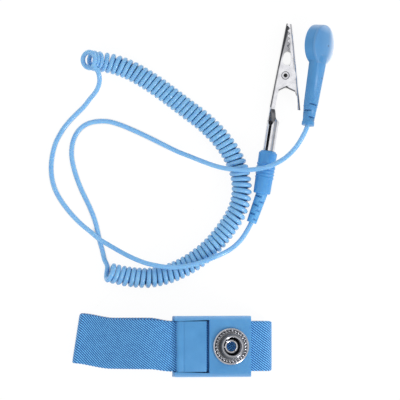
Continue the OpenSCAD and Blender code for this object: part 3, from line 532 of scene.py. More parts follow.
clip_route = np.array([
    (-41.9, 51.2, 10.9), (-41.3, 48.8, 9.7), (-41.4, 46.6, 8), (-42.1, 44.6, 6.1),
    (-43.3, 42.6, 4.3), (-45.2, 40.4, 2.7), (-47.8, 37.1, 1.5), (-50.8, 34.2, 1),
    (-54, 30.8, 1), (-56.5, 27.4, 1), (-59.3, 21.8, 1), (-60.7, 14.3, 1), (-60.2, 7.6, 1),
    (-58.1, 2, 1), (-54.1, -3.9, 1), (-49.4, -9, 1.6), (-44.6, -13, 2.7), (-41.5, -15.6, 3.4),
    (-36.7, -18.5, 4.4), (-32.5, -20.9, 5.6), (-27.9, -23.2, 7), (-23.3, -25, 8.3),
    (-19.2, -26, 9.1), (-14.8, -26.7, 9.4), (-10.4, -26.8, 9.5), (-5.9, -26.2, 9.5),
    (-1.3, -25, 9.4), (2.8, -23.5, 9.2), (6.4, -22, 8.6), (10.1, -20.2, 7.4), (13.2, -17.9, 6),
    (16.2, -14.5, 4.5)])*MM

snap_route = np.array([
    (-39.4, -23.8, 1.3), (-40.3, -20, 1), (-41.4, -16, 1), (-43, -9, 1), (-45.4, -2.7, 1),
    (-48.6, 4, 1), (-51, 10.4, 1), (-52.4, 16.3, 1), (-52.5, 20.6, 1), (-51.6, 24.6, 1),
    (-49.4, 28.2, 1), (-46.2, 30.5, 1), (-42.4, 31.4, 1), (-38, 31.4, 1), (-33.2, 30.1, 1),
    (-27.2, 27.6, 1), (-21.2, 24.8, 1), (-15.2, 21.8, 1.4), (-10, 19.3, 2.3), (-5.2, 17.4, 3.6),
    (-0.2, 15.4, 5.3), (4.8, 13.6, 7.2), (8.4, 12.7, 8.5), (11.4, 12.3, 9.3), (16.4, 12, 9.6),
    (21.3, 12.3, 9.6), (26.3, 13.4, 9.8), (31.3, 15.8, 10.8), (35.3, 19.1, 12.4),
    (38.6, 23.4, 13.9)])*MM
print("route points:", len(snap_route), len(coil_route), len(clip_route))


# %% Helpers for routes
def unit(v):
    return v/np.linalg.norm(v, axis=-1, keepdims=True)


def curve_at(points, t):
    """A smooth curve through a route's points; the first and last only steer the ends."""
    t = np.atleast_1d(t)
    i = np.clip(np.floor(t).astype(int), 0, len(points) - 4)
    f = (t - i)[:, None]
    a, b, c, d = points[i], points[i + 1], points[i + 2], points[i + 3]
    return b + 0.5*f*((c - a) + f*((2*a - 5*b + 4*c - d) + f*(3*b - a - 3*c + d)))


def even_points(points, spacing):
    """Points at an even spacing along a polyline."""
    run = np.concatenate(([0], np.cumsum(np.linalg.norm(np.diff(points, axis=0), axis=1))))
    spots = np.linspace(0, run[-1], int(round(run[-1]/spacing)) + 1)
    return np.stack([np.interp(spots, run, points[:, k]) for k in range(points.shape[1])], axis=1)


def length_of(points):
    return float(np.linalg.norm(np.diff(points, axis=0), axis=1).sum())


print("routes in mm:", [round(length_of(r)/MM) for r in (snap_route, coil_route, clip_route)])

# %% Curls round the line of the curly stretch
SPINE_STEPS, BIT = 16, 1e-5
coil_r = (COIL_OD - CORD_D)/2
coil_curve = np.vstack((2*coil_route[0] - coil_route[1], coil_route,
                        2*coil_route[-1] - coil_route[-2]))
fine = np.linspace(0, len(coil_route) - 1, (len(coil_route) - 1)*SPINE_STEPS + 1)
spine = curve_at(coil_curve, fine)
steps = np.diff(spine, axis=0)
bends = np.arccos(np.clip((unit(steps[1:])*unit(steps[:-1])).sum(axis=1), -1, 1))
inner = np.linalg.norm(steps, axis=1) - coil_r*np.concatenate(([0], bends))
inner_run = np.concatenate(([0], np.cumsum(inner)))


def coil_at(share):
    """Points of the curls, at shares of the curly stretch from 0 to 1."""
    share = np.atleast_1d(share)
    t = np.interp(share*inner_run[-1], inner_run, fine)
    ahead = unit(curve_at(coil_curve, t + 0.02) - curve_at(coil_curve, t - 0.02))
    side = unit(np.cross((0, 0, 1), ahead))
    up = np.cross(ahead, side)
    turn = (math.pi/2 - 2*math.pi*COIL_ROUNDS*share)[:, None]
    return curve_at(coil_curve, t) + coil_r*(np.cos(turn)*side + np.sin(turn)*up)


def coil_heading(share):
    return unit(coil_at(share + BIT) - coil_at(share - BIT))[0]


coil_points = coil_at(np.linspace(0, 1, int(COIL_ROUNDS*CURL_POINTS) + 1))
coil_in, coil_out = coil_heading(BIT), coil_heading(1 - BIT)
coil_start = coil_points[0] - CORD_D*coil_in
coil_end = coil_points[-1] + CORD_D*coil_out
print("curls:", len(coil_points), "points,", round(length_of(coil_points), 3), "m")

# %% Free stretches, and the whole cord
STRETCH_STEPS, LEAD_STEP = 20, 0.9*MM
STEER, PLUG_STEER = 4*MM, 6*MM
INTO_PLUG, INTO_BOOT = 5*MM, 3.5*MM


def free_stretch(before, first, route, last, after):
    """Even points along a free stretch, steered by a point before it and a point after it."""
    steering = np.vstack((before, first, route, last, after))
    spans = len(steering) - 3
    dense = curve_at(steering, np.linspace(0, spans, spans*STRETCH_STEPS + 1))
    return even_points(dense, LEAD_STEP)


clip_stretch = free_stretch(coil_start + STEER*coil_in, coil_start, clip_route, boot_tip,
                            boot_tip - STEER*boot_dir)
snap_stretch = free_stretch(coil_end - STEER*coil_out, coil_end, snap_route, plug_tip,
                            plug_tip + PLUG_STEER*plug_axis)
cord_path = np.vstack((plug_tip + INTO_PLUG*plug_axis, snap_stretch[::-1], coil_points[::-1],
                       clip_stretch, boot_tip - INTO_BOOT*boot_dir))

# %% [markdown]
# ## The cord's jacket
# A tube that follows a path is a textbook use of Geometry Nodes: Curve to Mesh sweeps a circle
# along the route. The tree has named inputs for the cord's radius and the number of sides. The
# result is turned into a plain mesh, which stands for the cord's imported pieces. The result
# is turned into a plain mesh, because only plain meshes are exported.


# %% Helpers for geometry trees
def new_tree(name, inputs):
    """An empty geometry tree with named inputs: the tree, its ends and its inputs' identifiers."""
    tree = bpy.data.node_groups.new(name, "GeometryNodeTree")
    tree.interface.new_socket(name="Geometry", in_out="INPUT", socket_type="NodeSocketGeometry")
    names = {}
    for label, kind in inputs.items():
        socket = tree.interface.new_socket(name=label, in_out="INPUT",
                                           socket_type="NodeSocket" + kind)
        names[label] = socket.identifier
    tree.interface.new_socket(name="Geometry", in_out="OUTPUT", socket_type="NodeSocketGeometry")
    return tree, put(tree, "NodeGroupInput").outputs, put(tree, "NodeGroupOutput"), names


def end_tree(tree, given, last, geometry):
    """Ends a tree: instances become real, shading smooth, and the material is set."""
    real = put(tree, "GeometryNodeRealizeInstances", {"Geometry": geometry})
    smooth = put(tree, "GeometryNodeSetShadeSmooth", {"Geometry": real.outputs[0]})
    dressed = put(tree, "GeometryNodeSetMaterial", {"Geometry": smooth.outputs[0],
                                                    "Material": given["Material"]})
    tree.links.new(dressed.outputs[0], last.inputs["Geometry"])


def applied(piece, modifier, **options):
    """A plain mesh of the piece with the modifier's work in it. The modifier goes."""
    depsgraph = bpy.context.evaluated_depsgraph_get()
    mesh = bpy.data.meshes.new_from_object(piece.evaluated_get(depsgraph), depsgraph=depsgraph,
                                           **options)
    piece.modifiers.remove(modifier)
    return mesh


def grow(name, data, tree, names, values):
    """Runs a geometry tree on a mesh or curve and keeps the result as a plain mesh piece."""
    seed = new_piece(name + "_seed", data)
    modifier = seed.modifiers.new("tree", "NODES")
    modifier.node_group = tree
    for label, value in values.items():
        modifier[names[label]] = value
    mesh = applied(seed, modifier, preserve_all_data_layers=True)
    mesh.name = name
    bpy.data.objects.remove(seed)
    return new_piece(name, mesh)


print("geometry tree helpers ready")

# %% Sweep the cord
jacket_tree, given, last, jacket_names = new_tree("sweep_cord", {
    "Cord Radius": "Float", "Sides": "Int", "Material": "Material"})
circle = put(jacket_tree, "GeometryNodeCurvePrimitiveCircle",
             {"Resolution": given["Sides"], "Radius": given["Cord Radius"]})
swept = put(jacket_tree, "GeometryNodeCurveToMesh", {"Curve": given["Geometry"],
            "Profile Curve": circle.outputs["Curve"], "Fill Caps": True})
end_tree(jacket_tree, given, last, swept.outputs["Mesh"])

route = bpy.data.curves.new("cord_route", "CURVE")
route.dimensions = "3D"
spline = route.splines.new("POLY")
spline.points.add(len(cord_path) - 1)
spline.points.foreach_set("co", np.hstack((cord_path, np.ones((len(cord_path), 1)))).ravel())
ground_cord = grow("ground_cord", route, jacket_tree, jacket_names,
                   {"Cord Radius": CORD_D/2, "Sides": CORD_SIDES, "Material": jacket_blue})
stand_for(ground_cord, "cord_snap_lead", "cord_coil", "cord_clip_lead")
print("ground cord:", len(ground_cord.data.polygons), "faces")

# %% [markdown]
# ## The wristband's shape
# The band is one strip of woven elastic. Its riveted end starts under the stud, runs out of the
# buckle, turns round a wide fold, comes back along the table, turns a tight fold and climbs over
# a soft hump into the buckle again, where the lever holds it. The soft end drifts a little
# sideways and its fold lies askew. The strip is built ring by ring along that line, with a fine
# grid on both faces for the weave, and with rounded selvedges.

# %% Line of the loop
BAND_W, BAND_T = 20*MM, 1.5*MM
BUCKLE_L = 31.2*MM
CHANNEL_MID = 1.95*MM
LOOP_X0, LOOP_X1 = -50.804*MM, 27.396*MM
FOLD_R, NEAR_FOLD_R = 1.5*MM, 3.6*MM
ANCHOR_X, TAIL_X = 2.8*MM, 1.8*MM
EYELET_HOLE_R = 2.25*MM


def channel_at(x):
    return np.array((BUCKLE_X, BUCKLE_Z)) + x*tilt_along + CHANNEL_MID*tilt_out


def arc(centre, radius, start, end, count):
    turn = np.radians(np.linspace(start, end, count + 1))
    return np.array(centre) + radius*np.stack((np.cos(turn), np.sin(turn)), axis=1)


def smooth(f):
    f = np.clip(f, 0, 1)
    return f*f*(3 - 2*f)


lower_z = BAND_T/2
near_centre = (LOOP_X1 - BAND_T/2 - NEAR_FOLD_R, lower_z + NEAR_FOLD_R)
left_x = LOOP_X0 + BAND_T/2 + FOLD_R
hump_start = np.array((left_x, lower_z + 2*FOLD_R))
HUMP_GAP, HUMP_PULL, HUMP_RISE = 0.8*MM, 36*MM, math.radians(12)
hump_end = channel_at(-BUCKLE_L/2 - HUMP_GAP)
f = np.linspace(0, 1, 161)[:, None]
hump_rise = np.array((math.cos(HUMP_RISE), math.sin(HUMP_RISE)))
hump = ((1 - smooth(f))*hump_start + smooth(f)*hump_end
        + f*(1 - f)*((1 - f)*HUMP_PULL*hump_rise - f*HUMP_PULL*tilt_along))
near_fold = arc(near_centre, NEAR_FOLD_R, 90 - math.degrees(BUCKLE_TILT), -90, 90)
far_fold = arc((left_x, lower_z + FOLD_R), FOLD_R, 270, 90, 60)
loop_line = np.vstack((channel_at(ANCHOR_X), near_fold, far_fold, hump[1:], channel_at(TAIL_X)))
BAND_STEP = 0.27*MM
loop_line = even_points(loop_line, BAND_STEP)
band_length = length_of(loop_line)
print("band:", round(band_length/MM, 1), "mm of", BAND_W/MM, "mm elastic,", len(loop_line), "rings")

# %% [markdown]
# Each ring of the strip goes across the outer face, round one selvedge, back across the inner
# face and round the other selvedge. Every point keeps how far along and across the band it lies,
# and which way is outwards there, as attributes: the weave is raised from these in the next step.
# Where the eyelet passes, the strip has a hole with a wall.

# %% Rings of the plain strip
ACROSS_STEPS = 70
SELVEDGE, CORNER_R = 0.55*MM, 1.4*MM
NEAR_RUN, FAR_RUN, ASKEW_RUN = 9*MM, 24*MM, 15*MM
NEAR_DRIFT, ASKEW_DRIFT, LOW_DRIFT = 0.9*MM, 2*MM, 0.35*MM
FOLD_SKEW = math.radians(8.8)


def band_rings(line):
    """The middle of each ring, the way across it and the way out of the loop there."""
    ahead = unit(np.gradient(line, axis=0))
    out = np.stack((-ahead[:, 1], np.zeros(len(line)), ahead[:, 0]), axis=1)
    near = smooth((hump_end[0] - line[:, 0])/NEAR_RUN)
    far = smooth((LOOP_X0 + FAR_RUN - line[:, 0])/FAR_RUN)
    low = 1 - smooth((line[:, 1] - lower_z)/(2*FOLD_R))
    askew = smooth((LOOP_X0 + ASKEW_RUN - line[:, 0])/ASKEW_RUN)
    drift = BUCKLE_Y + NEAR_DRIFT*near + ASKEW_DRIFT*askew + LOW_DRIFT*low*near
    centre = np.stack((line[:, 0], drift, line[:, 1]), axis=1)
    skew = FOLD_SKEW*far
    across = np.stack((np.sin(skew), np.cos(skew), np.zeros(len(line))), axis=1)
    into_fold = np.clip((line[:, 0] - LOOP_X1)/CORNER_R + 1, 0, 1)
    across = across*(1 - CORNER_R/(BAND_W/2)*(1 - np.sqrt(1 - into_fold**2)))[:, None]
    return centre, across, out


flat_half = BAND_W/2 - SELVEDGE
face = [(v, 1.0) for v in np.linspace(flat_half, -flat_half, ACROSS_STEPS + 1)]
edge_turns = np.radians((60, 25, -25, -60))
edge = [(-flat_half - SELVEDGE*math.cos(a), math.sin(a)) for a in edge_turns]
ring_shape = face + edge + [(v, -1.0) for v, _ in face[::-1]] + [(-v, -s) for v, s in edge]
ring_across = np.array([v for v, _ in ring_shape])
ring_side = np.array([s for _, s in ring_shape])
centre, across, out = band_rings(loop_line)
m, n = len(loop_line), len(ring_shape)
mid_layer = centre[:, None] + across[:, None]*ring_across[None, :, None]
points = mid_layer + out[:, None]*(BAND_T/2*ring_side)[None, :, None]
travel = np.arange(m)*band_length/(m - 1)
print("rings:", m, "of", n, "points")

# %% Faces of the strip, with the eyelet's hole
HOLE_CLEAR, RIVETED_END = 0.15*MM, 12*MM
from_axis = np.linalg.norm(np.cross(mid_layer - stud_foot, stud_axis), axis=2)
in_hole = (from_axis < EYELET_HOLE_R + HOLE_CLEAR) & (travel < RIVETED_END)[:, None]
faces = []
turn_points = len(edge) + 1
mirror = {j: n - turn_points - j for j in range(ACROSS_STEPS + 1)}
cut = np.zeros((m - 1, ACROSS_STEPS), bool)
for i in range(m - 1):
    for j in range(n):
        k = (j + 1) % n
        if in_hole[i, j] and in_hole[i + 1, j] and in_hole[i, k] and in_hole[i + 1, k]:
            if j < ACROSS_STEPS:
                cut[i, j] = True
            continue
        faces.append((i*n + j, i*n + k, (i + 1)*n + k, (i + 1)*n + j))


def wall(i0, j0, i1, j1):
    """A face of the hole's wall, from one face of the strip to the other."""
    return (i0*n + j0, i1*n + j1, i1*n + mirror[j1], i0*n + mirror[j0])


for i, j in zip(*np.nonzero(cut)):
    for beside, ends in (((i - 1, j), (i, j + 1, i, j)), ((i + 1, j), (i + 1, j, i + 1, j + 1)),
                         ((i, j - 1), (i, j, i + 1, j)), ((i, j + 1), (i + 1, j + 1, i, j + 1))):
        if not cut[beside]:
            faces.append(wall(*ends))
for start, flip in ((0, False), ((m - 1)*n, True)):
    strip = [(start + j, start + mirror[j], start + mirror[j + 1], start + j + 1)
             for j in range(ACROSS_STEPS)]
    strip.append(tuple(start + ACROSS_STEPS + j for j in range(turn_points + 1)))
    strip.append(tuple(start + j for j in (*range(n - turn_points, n), 0)))
    faces += [face[::-1] if flip else face for face in strip]
strip_mesh = bpy.data.meshes.new("band_strip")
strip_mesh.from_pydata(points.reshape(-1, 3).tolist(), [], faces)
print("plain strip:", len(faces), "faces,", int(cut.sum()), "cut for the eyelet")

# %% Keep where each point lies on the weave
SCALLOP_REACH = 0.6*MM
raise_out = np.broadcast_to(out[:, None], points.shape)*ring_side[None, :, None]
past_reach = np.abs(ring_across) - flat_half + SCALLOP_REACH
edge_share = np.clip(past_reach/(SELVEDGE + SCALLOP_REACH), 0, 1)**2
pull_out = across[:, None]*(np.sign(ring_across)*edge_share)[None, :, None]
along_all = np.broadcast_to(travel[:, None], (m, n))
across_all = np.broadcast_to(ring_across[None], (m, n))
for label, kind, values in (
        ("along", "FLOAT", along_all), ("across", "FLOAT", across_all),
        ("raise_out", "FLOAT_VECTOR", raise_out), ("pull_out", "FLOAT_VECTOR", pull_out)):
    layer = strip_mesh.attributes.new(label, kind, "POINT")
    layer.data.foreach_set("value" if kind == "FLOAT" else "vector",
                           np.ascontiguousarray(values).ravel())
weave_map = strip_mesh.uv_layers.new(name="weave")
corners = np.zeros(len(strip_mesh.loops), np.int32)
strip_mesh.loops.foreach_get("vertex_index", corners)
weave = np.stack((along_all.ravel(), across_all.ravel()), axis=1)/MM
weave_map.data.foreach_set("uv", weave[corners].astype(np.float32).ravel())
print("weave map spans", weave.min(axis=0).round(1), "to", weave.max(axis=0).round(1), "mm")

# %% [markdown]
# ## The weave
# The elastic is a twill: its ribs run downhill to the right at about 37 degrees and stand up from
# the face, and the weft turns round at the selvedge in small scallops. The ribs follow a rule, so
# a geometry tree raises them from the attributes. The yarns inside each rib are too fine for the
# mesh, so the material draws them on the weave map with painted light: each rib has painted
# shade in its valley and a painted highlight on its crest, it is cut into slanted floats with
# painted shade between them, and every float has its own slight tint. Where the buckle holds the
# band, its weave is painted toward one flat blue, as the band looks in the buckle's shade.

# %% Woven elastic's finish (in mm on the weave map)
RIB_PITCH, RIB_ANGLE, FLOAT_LENGTH = 0.78, math.radians(37), 1.1
ROW_SHIFT = 0.37
RIVETED_HOLD, CLAMPED_HOLD = 9.0, band_length/MM - 14
# Painted shade: where the buckle holds the band, its weave is mixed toward this flat blue.
BUCKLE_SHADE_BLUE = seen(40, 120, 208)


def woven_elastic(name, crest, flank, valley):
    finish, tree, shader, _ = new_finish(name)
    spot = put(tree, "ShaderNodeUVMap", uv_map="weave").outputs["UV"]
    parts = put(tree, "ShaderNodeSeparateXYZ", {"Vector": spot}).outputs
    along, across = Field(tree, parts["X"]), Field(tree, parts["Y"])
    rib = along*(math.sin(RIB_ANGLE)/RIB_PITCH) + across*(math.cos(RIB_ANGLE)/RIB_PITCH)
    run = along*(math.cos(RIB_ANGLE)/FLOAT_LENGTH) + across*(-math.sin(RIB_ANGLE)/FLOAT_LENGTH)
    row = rib.math("FLOOR")
    shifted = run + row*ROW_SHIFT
    float_id = put(tree, "ShaderNodeCombineXYZ", {"X": shifted.math("FLOOR"), "Y": row})
    chance = field(tree, "ShaderNodeTexWhiteNoise", {"Vector": float_id.outputs[0]}, "Value")
    close = put(tree, "ShaderNodeMapping", {"Vector": spot, "Scale": (5.0, 5.0, 1.0)})
    yarn = field(tree, "ShaderNodeTexNoise", {"Vector": close.outputs["Vector"], "Scale": 1.6,
                                              "Detail": 3.0}, "Fac")
    # Painted light: shade in each rib's valley and between floats, a highlight on their crests.
    level = (rib.crests()*(0.72 + shifted.crests()**0.5*0.28)
             + 0.1*(chance - 0.5) + 0.16*(yarn - 0.5))
    cloth = ramp(tree, level, (0.3, valley), (0.6, flank), (0.95, crest))
    # Painted shade where the buckle holds the band, at both ends of the strip.
    held = largest(along.fade(RIVETED_HOLD, RIVETED_HOLD + 2),
                   along.fade(CLAMPED_HOLD, CLAMPED_HOLD - 2))
    fill(tree, shader, {
        "Base Color": mix_colours(tree, held*0.55, cloth, BUCKLE_SHADE_BLUE),
        "Roughness": 0.7, "Sheen Weight": 0.22})
    bump(tree, shader, level, 0.35, 0.2*MM)
    return finish


band_cloth = woven_elastic("woven_elastic", seen(114, 198, 255), seen(44, 130, 206),
                           seen(0, 38, 112))
print("cloth:", band_cloth.name, "with ribs", RIB_PITCH, "mm apart")

# %% Raise the ribs and scallop the selvedges
weave_tree, given, last, weave_names = new_tree("raise_twill", {
    "Rib Pitch": "Float", "Rib Angle": "Float", "Rib Height": "Float", "Scallop Pitch": "Float",
    "Scallop Depth": "Float", "Material": "Material"})
CREST_SINK = 0.8


def kept(label, kind="FLOAT"):
    return field(weave_tree, "GeometryNodeInputNamedAttribute", {"Name": label}, "Attribute",
                 data_type=kind)


def crested(label, depth, distance, pitch):
    """A shift along a kept direction that makes one crest per pitch of the distance."""
    height = ((distance/pitch).crests() - CREST_SINK)*depth
    return put(weave_tree, "ShaderNodeVectorMath",
               {0: kept(label, "FLOAT_VECTOR"), "Scale": height}, operation="SCALE").outputs[0]


rib_angle = Field(weave_tree, given["Rib Angle"])
over_rib = kept("along")*rib_angle.math("SINE") + kept("across")*rib_angle.math("COSINE")
risen = crested("raise_out", given["Rib Height"], over_rib, given["Rib Pitch"])
bulged = crested("pull_out", given["Scallop Depth"], kept("along"), given["Scallop Pitch"])
shift = put(weave_tree, "ShaderNodeVectorMath", {0: risen, 1: bulged}, operation="ADD")
moved = put(weave_tree, "GeometryNodeSetPosition", {"Geometry": given["Geometry"],
                                                    "Offset": shift.outputs[0]})
end_tree(weave_tree, given, last, moved.outputs["Geometry"])
woven_band = grow("woven_band", strip_mesh, weave_tree, weave_names, {
    "Rib Pitch": RIB_PITCH*MM, "Rib Angle": RIB_ANGLE, "Rib Height": 0.18*MM,
    "Scallop Pitch": 1.3*MM, "Scallop Depth": 0.22*MM, "Material": band_cloth})
stand_for(woven_band, "elastic_band")
print("woven band:", len(woven_band.data.polygons), "faces")

# %% [markdown]
# ## The snap stud
# The stud is pressed from sheet and turned over: a flat flange with a smooth rolled rim, inside
# it a ring of slanted beads like a rope, then a neck and a rolled wall. The body is a profile
# turned round an axis. The rope repeats one bead around a circle, which is again work for a
# geometry tree.


# %% Turn the stud's profile
def turned(name, profile, count=96):
    """A closed ring-shaped mesh: a profile of (radius, height) points turned round the z axis."""
    profile = np.array(profile)*MM
    turn = np.linspace(0, 2*math.pi, count, endpoint=False)
    spots = np.stack((np.cos(turn)[:, None]*profile[:, 0], np.sin(turn)[:, None]*profile[:, 0],
                      np.broadcast_to(profile[:, 1], (count, len(profile)))), axis=2)
    k = len(profile)
    quads = []
    for i in range(count):
        here, there = i*k, ((i + 1) % count)*k
        quads += [(here + j, there + j, there + (j + 1) % k, here + (j + 1) % k) for j in range(k)]
    mesh = bpy.data.meshes.new(name)
    mesh.from_pydata(spots.reshape(-1, 3).tolist(), [], quads)
    return mesh


def bow(r, z, radius, start, end, count=8):
    return [tuple(p) for p in arc((r, z), radius, start, end, count)]


stud_profile = [
    (2.25, 0), (6.3, 0), *bow(6.9, 0.5, 0.5, -90, 120), (6.5, 0.62), (6.2, 0.42), (5.7, 0.42),
    (5.35, 0.62), (5.1, 0.62), (4.75, 0.5), *bow(4.85, 0.85, 0.25, 250, 110, 5), (4.85, 1.15),
    (4.9, 1.25), (4.9, 2.9), *bow(4.3, 2.95, 0.6, 5, 95, 6), *bow(4.15, 3.05, 0.55, 100, 200, 6),
    (3.75, 2.4), (4.1, 2.1), (4.12, 0.5), (2.25, 0.45)]
stud_body = turned("stud_body", stud_profile)
print("stud body:", len(stud_body.polygons), "faces")

# %% Rope the flange
ROPE_BEADS = 30
rope_tree, given, last, rope_names = new_tree("rope_flange", {
    "Twists": "Int", "Ring Radius": "Float", "Ring Height": "Float", "Bead Size": "Vector",
    "Lean": "Float", "Material": "Material"})
ring = put(rope_tree, "GeometryNodeMeshCircle", {"Vertices": given["Twists"],
                                                 "Radius": given["Ring Radius"]})
spots = put(rope_tree, "ShaderNodeSeparateXYZ", {
    "Vector": put(rope_tree, "GeometryNodeInputPosition").outputs[0]})
around = Field(rope_tree, spots.outputs["Y"]).math("ARCTAN2", spots.outputs["X"])
facing = put(rope_tree, "ShaderNodeCombineXYZ", {"Z": around + given["Lean"]})
bead = put(rope_tree, "GeometryNodeMeshUVSphere", {"Segments": 10, "Rings": 6, "Radius": 0.5})
beads = put(rope_tree, "GeometryNodeInstanceOnPoints", {
    "Points": ring.outputs["Mesh"], "Instance": bead.outputs["Mesh"], "Rotation": facing.outputs[0],
    "Scale": given["Bead Size"]})
lift = put(rope_tree, "ShaderNodeCombineXYZ", {"Z": given["Ring Height"]})
lifted = put(rope_tree, "GeometryNodeTransform", {"Geometry": beads.outputs["Instances"],
                                                  "Translation": lift.outputs[0]})
joined = put(rope_tree, "GeometryNodeJoinGeometry")
rope_tree.links.new(lifted.outputs["Geometry"], joined.inputs[0])
rope_tree.links.new(given["Geometry"], joined.inputs[0])
end_tree(rope_tree, given, last, joined.outputs[0])
roped_stud = grow("roped_stud", stud_body, rope_tree, rope_names, {
    "Twists": ROPE_BEADS, "Ring Radius": 5.9*MM, "Ring Height": 0.55*MM, "Lean": math.radians(42),
    "Bead Size": (1.5*MM, 0.74*MM, 0.8*MM), "Material": stud_nickel})
to_plate = (Matrix.Translation(Vector(stud_foot + PLATE_TOP*stud_axis))
            @ Matrix.Rotation(BUCKLE_TILT, 4, "Y"))
roped_stud.data.transform(to_plate)
stand_for(roped_stud, "snap_stud")
print("stud:", len(roped_stud.data.polygons), "faces,", ROPE_BEADS, "beads")

# %% [markdown]
# ## Moulded and pressed pieces
# These pieces have the right shape already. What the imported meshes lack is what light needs: a
# real edge is never razor sharp, and a round face shades smoothly. In a copy of each mesh, doubled
# points are merged, flat faces are joined up, and a small bevel rounds the edges. The copies stand
# for their nodes.


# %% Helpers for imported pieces
FLAT = math.radians(0.5)


def cleaned(mesh, merge, collapse, flatten=False):
    """Merges doubles and slivers of a mesh. Flatten also joins flat faces and shades it smooth."""
    work = bmesh.new()
    work.from_mesh(mesh)
    bmesh.ops.remove_doubles(work, verts=work.verts, dist=merge)
    bmesh.ops.dissolve_degenerate(work, edges=work.edges, dist=collapse)
    if flatten:
        bmesh.ops.dissolve_limit(work, angle_limit=FLAT, verts=work.verts, edges=work.edges)
        for face in work.faces:
            face.smooth = True
    work.to_mesh(mesh)
    work.free()


def dressed(name, node, finish, edge, segments, sharp=32, crosses=None):
    """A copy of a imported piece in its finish, with rounded edges, that stands for its node."""
    mesh = frame["nodes"][node].data.copy()
    mesh.name = name
    cleaned(mesh, merge=0.004*MM, collapse=0.002*MM, flatten=True)
    mesh.materials.clear()
    mesh.materials.append(finish)
    piece = new_piece(name, mesh)
    rounding = piece.modifiers.new("edge", "BEVEL")
    rounding.width = edge
    rounding.segments = segments
    rounding.limit_method = "ANGLE"
    rounding.angle_limit = math.radians(sharp)
    piece.data = applied(piece, rounding)
    cleaned(piece.data, merge=0.003*MM, collapse=0.003*MM)
    piece.data.set_sharp_from_angle(angle=math.radians(sharp))
    stand_for(piece, node, crosses=crosses)
    return piece


print("packed piece helpers ready")

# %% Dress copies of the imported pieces
for name, node, finish, edge, segments in (
        ("moulded_buckle", "buckle_body", buckle_blue, 0.3*MM, 3),
        ("clamp_lever", "buckle_lever", buckle_blue, 0.15*MM, 3),
        ("moulded_plug", "snap_housing", plug_blue, 0.12*MM, 3),
        ("ringed_grip", "handle_sleeve", grip_blue, 0.1*MM, 3),
        ("slotted_boot", "cord_boot", boot_blue, 0.1*MM, 3),
        ("back_jaw", "clip_lower_jaw", back_nickel, 0.06*MM, 2),
        ("thumb_jaw", "clip_upper_jaw", thumb_nickel, 0.06*MM, 2),
        ("hollow_pivot", "clip_pivot", pivot_nickel, 0.08*MM, 2),
        ("rolled_eyelet", "stud_eyelet", nickel, 0.06*MM, 2)):
    piece = dressed(name, node, finish, edge, segments)
    print(name + ":", len(piece.data.polygons), "faces")

# %% [markdown]
# ## The clip's spring
# The spring is wound round the pivot, and each of its legs pushes one arm of the clip. When the
# jaw opens, the legs come closer and the turns wind up. The spring's copy crosses the clip's
# joint, so it is left unattached, with its place baked into its mesh. The other hidden pieces
# stay as packed, and only get their finishes.

# %% Dress the spring, which crosses the clip's joint
SPRING_REACH = 1.5*MM
both_jaws = ("clip", "jaw", tuple(CLIP_POS - SPRING_REACH*clip_across),
             tuple(CLIP_POS + SPRING_REACH*clip_across))
spring = dressed("torsion_spring", "clip_spring", spring_steel, 0.02*MM, 1, 70, both_jaws)
print("spring:", len(spring.data.polygons), "faces")

# %% Finishes of the pieces that stay as packed
for node, finish in {"contact_plate": spring_steel, "snap_socket": nickel,
                     "socket_spring": spring_steel, "resistor": resistor_coat,
                     "resistor_lead_front": tinned_copper, "resistor_lead_rear": tinned_copper,
                     "banana_pin": pin_in_shade, "clip_conductor": tinned_copper}.items():
    for holder in frame["nodes"][node].material_slots:
        holder.material = finish
print("hidden pieces have their finishes")

# %% [markdown]
# ## Table and light
# The strap lies on a white table. Its white comes from its own material, not from more light; it
# keeps a faint shadow, and its glow is painted dark with occlusion shade where it is seen only
# through a slit, as between the clip's teeth. The light is a plain studio: an even white dome,
# and one soft lamp low on the right, whose glints run down the curls. What the metal mirrors is
# uneven, as in a real room: white overhead, grey on the right, and on the left a dark gap above
# a pale wall.

# %% Table
table_finish = bpy.data.materials.new("white_table")
table_finish.use_nodes = True
tree = table_finish.node_tree
tree.nodes.clear()
rays = put(tree, "ShaderNodeLightPath").outputs
shown = largest(*(Field(tree, rays[ray]) for ray in (
    "Is Camera Ray", "Is Glossy Ray", "Is Transmission Ray")))
plain = put(tree, "ShaderNodeBsdfDiffuse", {"Color": grey(0.92)})
pale = put(tree, "ShaderNodeBsdfDiffuse", {"Color": grey(0.09)})
openness = put(tree, "ShaderNodeAmbientOcclusion", {"Distance": 2.5*MM}, samples=16).outputs["AO"]
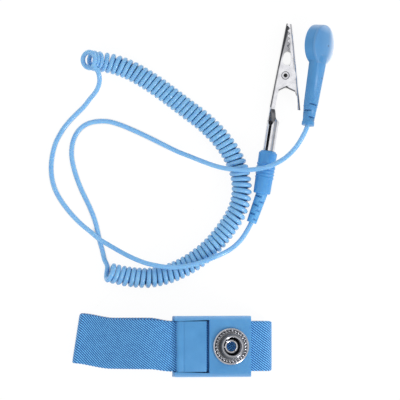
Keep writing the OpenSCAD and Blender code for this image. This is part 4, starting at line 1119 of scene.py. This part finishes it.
# Painted shade: the table's glow goes dark where occlusion shows a slit over it.
slit_shade = ramp(tree, openness, (0.3, grey(0.02)), (0.6, grey(1.0)))
glow = put(tree, "ShaderNodeEmission", {"Color": slit_shade, "Strength": 0.93})
white = put(tree, "ShaderNodeAddShader", {0: pale.outputs[0], 1: glow.outputs[0]})
mixed_table = put(tree, "ShaderNodeMixShader", {0: shown, 1: plain.outputs[0], 2: white.outputs[0]})
put(tree, "ShaderNodeOutputMaterial", {"Surface": mixed_table.outputs[0]})
TABLE, TABLE_Z = 3.0, -0.05*MM
table_corners = [(x*TABLE, y*TABLE, TABLE_Z) for x, y in ((-1, -1), (1, -1), (1, 1), (-1, 1))]
table_mesh = bpy.data.meshes.new("table")
table_mesh.from_pydata(table_corners, [], [(0, 1, 2, 3)])
table_mesh.materials.append(table_finish)
table = new_piece("table", table_mesh)
print("table:", 2*TABLE, "m wide")

# %% Dome and lamp
world = bpy.data.worlds.new("studio")
bpy.context.scene.world = world
world.use_nodes = True
tree = world.node_tree
direction = put(tree, "ShaderNodeTexCoord").outputs["Generated"]
parts = put(tree, "ShaderNodeSeparateXYZ", {"Vector": direction}).outputs
right_side = ramp(tree, parts["Z"], (0.0, grey(0.45)), (0.34, grey(0.4)), (0.7, grey(0.52)),
                  (0.9, grey(0.72)), (0.97, grey(1.08)))
left_side = ramp(tree, parts["Z"], (0.0, grey(1.0)), (0.5, grey(0.95)), (0.68, grey(0.35)),
                 (0.9, grey(0.5)), (0.97, grey(1.08)))
leftness = Field(tree, parts["X"]).fade(-0.25, 0.25)
mirrored = mix_colours(tree, leftness, right_side, left_side)
is_mirror = put(tree, "ShaderNodeLightPath").outputs["Is Glossy Ray"]
fill(tree, tree.nodes["Background"], {
    "Color": mix_colours(tree, is_mirror, grey(0.9), mirrored), "Strength": 1.0})

lamp_data = bpy.data.lights.new("softbox", "AREA")
lamp_data.shape = "DISK"
lamp_data.size = 0.3
lamp_data.energy = 4.2
lamp = bpy.data.objects.new("softbox", lamp_data)
lamp.location = (0.744, -0.624, 0.516)
lamp.rotation_euler = (-lamp.location).to_track_quat("-Z", "Y").to_euler()
bpy.context.scene.collection.objects.link(lamp)
print("lamp:", lamp_data.energy, "W")
